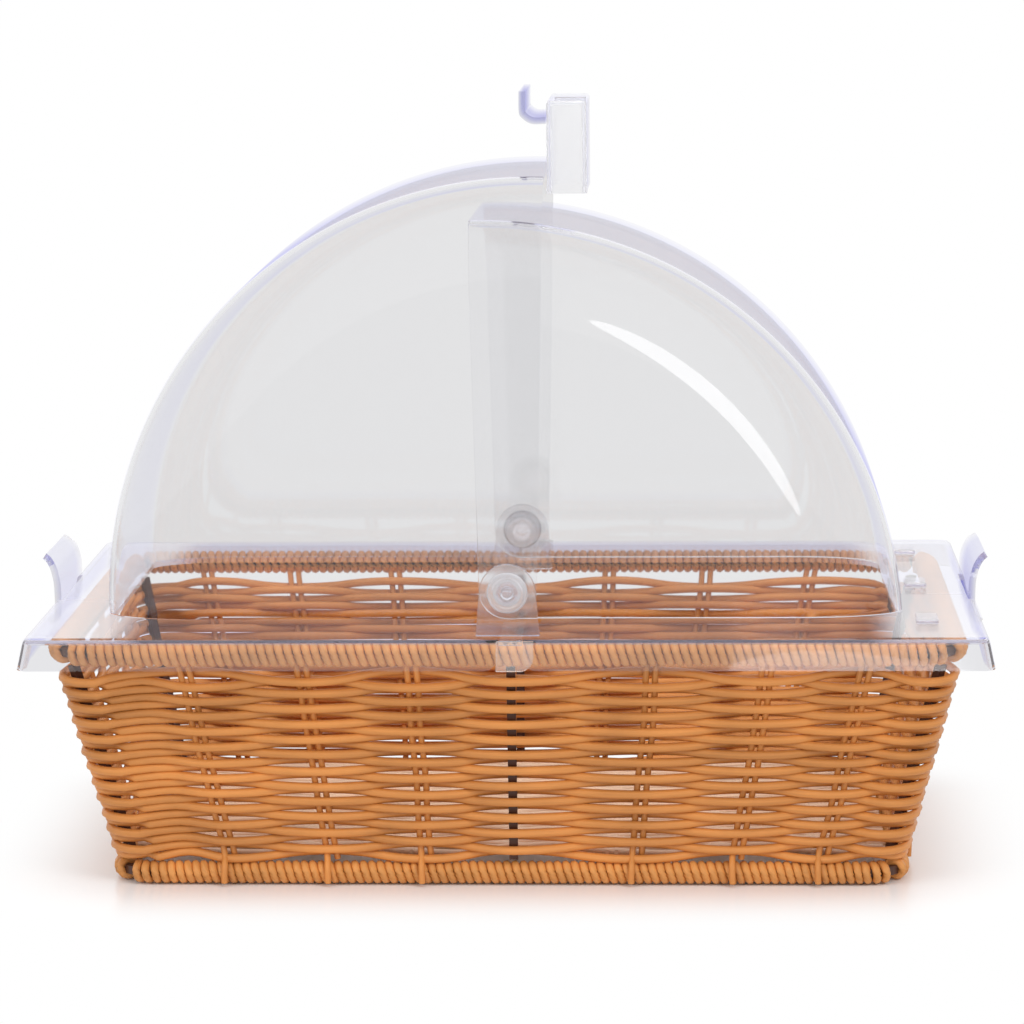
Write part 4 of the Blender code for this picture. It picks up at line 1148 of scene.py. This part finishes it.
class BREADBIN_OT_hinges(bpy.types.Operator):
    """Build the hinge brackets, studs, washers and caps"""

    bl_idname = "bread_bin.hinges"
    bl_label = "Build the hinges"

    def execute(self, context):
        for word, front in (("front", -1), ("back", 1)):
            self.make_bracket(context.scene.bread_bin.cover, word, front)
            self.make_stud(word, front)
        return {"FINISHED"}

    def make_bracket(self, cover, word, front):
        """An ear that holds the stud, an arm over the rim and a tongue in front of it."""
        node = "hinge_bracket_" + word
        low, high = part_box(node)
        near, far = reaches(node, 1)
        top = FLANGE_HIGH.z
        spots = [(-high.x, top - EAR_FOOT), (high.x, top - EAR_FOOT),
                 *arc((0.0, HINGE_Z), (cover.ears, cover.ears), 0, 180, 32)]
        mesh = bmesh.new()
        add_plate(mesh, [(x, front * near, z) for x, z in spots], (0.0, front * EAR_DEPTH, 0.0), True)
        tongue_y = far - TONGUE_DEPTH - cover.flare
        arm_y = near + EAR_DEPTH + HAIR
        arm = [(ARM_LEFT, front * arm_y, top), (ARM_RIGHT, front * arm_y, top),
               (ARM_RIGHT, front * tongue_y, top), (ARM_LEFT, front * tongue_y, top)]
        add_plate(mesh, arm, (0.0, 0.0, -cover.wall))
        bend = cover.skirt_corner
        tongue = [(TONGUE_LEFT, top), (TONGUE_LEFT, low.z),
                  *arc((TONGUE_RIGHT - bend, low.z + bend), (bend, bend), 270, 360, CORNER_STEPS),
                  (TONGUE_RIGHT, top)]
        start_y = front * (tongue_y + HAIR)
        for vert in add_plate(mesh, [(x, start_y, z) for x, z in tongue], (0.0, front * TONGUE_DEPTH, 0.0)):
            vert.co.y += front * cover.flare * (top - vert.co.z) / (top - low.z)
        tidy(mesh)
        bracket = finish_piece("clear_bracket_" + word, mesh, clear_finish("moulded_thin"), "basket",
                               node)
        round_edges(bracket, BRACKET_EDGE)

    def make_stud(self, word, front):
        """The stud with its ringed head, the washer behind the walls and the cap on the tail."""
        tail, face = reaches("hinge_stud_" + word, 1)
        back = face - HEAD_HEIGHT
        shank = BORE_RADIUS - SHANK_PLAY
        well = tail - CAP_PLAY
        for kind in ("stud", "washer", "cap"):
            node = "hinge_%s_%s" % (kind, word)
            inner, outer = reaches(node, 1)
            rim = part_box(node)[1].x
            if kind == "stud":
                line = [(0.0, tail), (shank, tail), (shank, back), (rim, back), (rim, face - RING_DEPTH),
                        (rim - RING_DEPTH, face)] + [(radius, face - depth) for radius, depth in HEAD_RINGS]
            elif kind == "washer":
                line = [(BORE_RADIUS, inner), (rim, inner), (rim, outer), (BORE_RADIUS, outer),
                        (BORE_RADIUS, inner)]
            else:
                line = [(0.0, inner), (rim - CAP_CHAMFER, inner), (rim, inner + CAP_CHAMFER), (rim, outer),
                        (BORE_RADIUS, outer), (BORE_RADIUS, well), (0.0, well)]
            mesh = bmesh.new()
            verts, edges = add_loop(mesh, [(radius, front * y, HINGE_Z) for radius, y in line], closed=False)
            bmesh.ops.spin(mesh, geom=verts + edges, cent=(0.0, 0.0, HINGE_Z), axis=(0, 1, 0),
                           angle=math.tau, steps=56, use_merge=True)
            tidy(mesh)
            made = finish_piece("clear_%s_%s" % (kind, word), mesh, clear_finish("moulded_ringed"), "basket",
                                node)
            round_edges(made, TURNED_EDGE, TURNED_ANGLE)


class BREADBIN_OT_stage(bpy.types.Operator):
    """Set up the floor, the white surroundings, the lamps and the camera"""

    bl_idname = "bread_bin.stage"
    bl_label = "Set the stage"

    def execute(self, context):
        stage = context.scene.bread_bin.stage
        self.make_camera(context, stage)
        self.make_floor()
        self.make_world(context)
        self.make_lamps(stage)
        context.scene.view_settings.view_transform = "Standard"
        return {"FINISHED"}

    def make_camera(self, context, stage):
        """The camera that the photograph was taken with, as fitted to the basket's edges."""
        data = bpy.data.cameras.new("photo_camera")
        data.lens = stage.lens
        data.sensor_width = SENSOR_WIDTH
        camera = add_object("photo_camera", data)
        forward = Vector((-math.sin(stage.yaw) * math.cos(stage.pitch),
                          math.cos(stage.yaw) * math.cos(stage.pitch), -math.sin(stage.pitch)))
        right = Vector((math.cos(stage.yaw), math.sin(stage.yaw), 0.0))
        up = right.cross(forward)
        side = right * math.cos(stage.roll) + up * math.sin(stage.roll)
        top = up * math.cos(stage.roll) - right * math.sin(stage.roll)
        turn = Matrix((side, top, -forward)).transposed().to_4x4()
        camera.matrix_world = Matrix.Translation(stage.place) @ turn
        context.scene.camera = camera

    def make_floor(self):
        """A pale floor that keeps the object's shadow close to it and turns into plain white further out."""
        finish, tree = new_finish("stage_floor_white")
        if tree is not None:
            coordinates = add_node(tree, "TexCoord")
            spot = add_node(tree, "VectorMath", {0: coordinates.outputs["Object"]}, operation="ABSOLUTE")
            under = (FOOT_HIGH.x - SHADOW_INSET, FOOT_HIGH.y - SHADOW_INSET, 0.0)
            past = add_node(tree, "VectorMath", {0: spot, 1: under}, operation="SUBTRACT")
            past = add_node(tree, "VectorMath", {0: past, 1: (0.0, 0.0, 0.0)}, operation="MAXIMUM")
            away = add_node(tree, "VectorMath", {0: past}, operation="LENGTH")
            spread = add_node(tree, "MapRange", {"Value": away.outputs["Value"], "From Min": SHADOW_NEAR,
                                                 "From Max": SHADOW_FAR}, interpolation_type="SMOOTHSTEP")
            near = add_node(tree, "BsdfPrincipled", {"Base Color": (0.95, 0.95, 0.95, 1.0), "Roughness": 0.25,
                                                     "IOR": 1.45})
            far = add_node(tree, "Emission", {"Color": (1.0, 1.0, 1.0, 1.0),
                                              "Strength": self.level_by_ray(tree, lit=0.8, mirrored=0.7)})
            both = add_node(tree, "MixShader", {0: spread, 1: near, 2: far})
            add_node(tree, "OutputMaterial", {"Surface": both})
        mesh = bmesh.new()
        bmesh.ops.create_circle(mesh, cap_ends=True, radius=STAGE_RADIUS, segments=48)
        floor = add_mesh("stage_floor", mesh)
        floor.location.z = -STAGE_DROP
        dress(floor, finish)

    def level_by_ray(self, tree, lit, mirrored):
        """White for the camera, the pale grey of a studio backdrop for what is seen through clear walls,
        and levels of their own for reflections and for the light that reaches the object."""
        backdrop = bpy.context.scene.bread_bin.stage.backdrop
        path = add_node(tree, "LightPath")
        level = lit
        for ray, strength in (("Is Glossy Ray", mirrored), ("Is Transmission Ray", backdrop),
                              ("Is Camera Ray", 1.0)):
            level = add_node(tree, "MapRange", {"Value": path.outputs[ray], "To Min": level,
                                                "To Max": strength})
        return level

    def make_world(self, context):
        """The white room around the object, alike on every side."""
        world = bpy.data.worlds.new("white_room")
        world.use_nodes = True
        tree = world.node_tree
        tree.nodes.clear()
        light = add_node(tree, "Background", {"Color": (1.0, 1.0, 1.0, 1.0),
                                              "Strength": self.level_by_ray(tree, lit=0.7, mirrored=1.0)})
        add_node(tree, "OutputWorld", {"Surface": light})
        context.scene.world = world

    def make_lamps(self, stage):
        """Soft lamps from above and from both sides, which clear walls don't mirror, and a small round
        softbox beside the camera, which draws the bright crescent on the right hood."""
        for name, place, aim, width, power, mirrored in LAMPS:
            data = bpy.data.lights.new(name, "AREA")
            data.shape = "ELLIPSE" if mirrored else "RECTANGLE"
            data.size = width
            data.size_y = width * CRESCENT_SHARE if mirrored else width
            data.energy = power * stage.light
            lamp = add_object(name, data)
            lamp.location = place
            lamp.rotation_mode = "QUATERNION"
            turn = Matrix.Rotation(math.radians(CRESCENT_TURN if mirrored else 0), 3, "Z").to_quaternion()
            lamp.rotation_quaternion = (Vector(aim) - Vector(place)).to_track_quat("-Z", "Y") @ turn
            lamp.visible_glossy = mirrored
            lamp.visible_transmission = mirrored
            lamp.visible_camera = False


class BREADBIN_PT_panel(bpy.types.Panel):
    """Settings and steps of the bread bin"""

    bl_label = "Bread Bin"
    bl_idname = "BREADBIN_PT_panel"
    bl_space_type = "VIEW_3D"
    bl_region_type = "UI"
    bl_category = "Bread Bin"

    def draw(self, context):
        settings = context.scene.bread_bin
        for group in (settings.weave, settings.cover, settings.colours, settings.stage):
            for name in type(group).__annotations__:
                self.layout.prop(group, name)
        for step in STEPS:
            self.layout.operator(step.bl_idname)


STEPS = (BREADBIN_OT_weave, BREADBIN_OT_coils, BREADBIN_OT_floor, BREADBIN_OT_hoods, BREADBIN_OT_flanges,
         BREADBIN_OT_handles, BREADBIN_OT_hinges, BREADBIN_OT_stage)
CLASSES = (BreadBinWeave, BreadBinCover, BreadBinColours, BreadBinStage, BreadBinSettings, *STEPS,
           BREADBIN_PT_panel)


def register():
    for item in CLASSES:
        bpy.utils.register_class(item)
    bpy.types.Scene.bread_bin = bpy.props.PointerProperty(type=BreadBinSettings)


def unregister():
    del bpy.types.Scene.bread_bin
    for item in reversed(CLASSES):
        bpy.utils.unregister_class(item)


def main():
    """Register the add-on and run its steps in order."""
    register()
    bpy.ops.bread_bin.weave()
    bpy.ops.bread_bin.coils()
    bpy.ops.bread_bin.floor()
    bpy.ops.bread_bin.hoods()
    bpy.ops.bread_bin.flanges()
    bpy.ops.bread_bin.handles()
    bpy.ops.bread_bin.hinges()
    bpy.ops.bread_bin.stage()


if __name__ == "__main__":
    main()
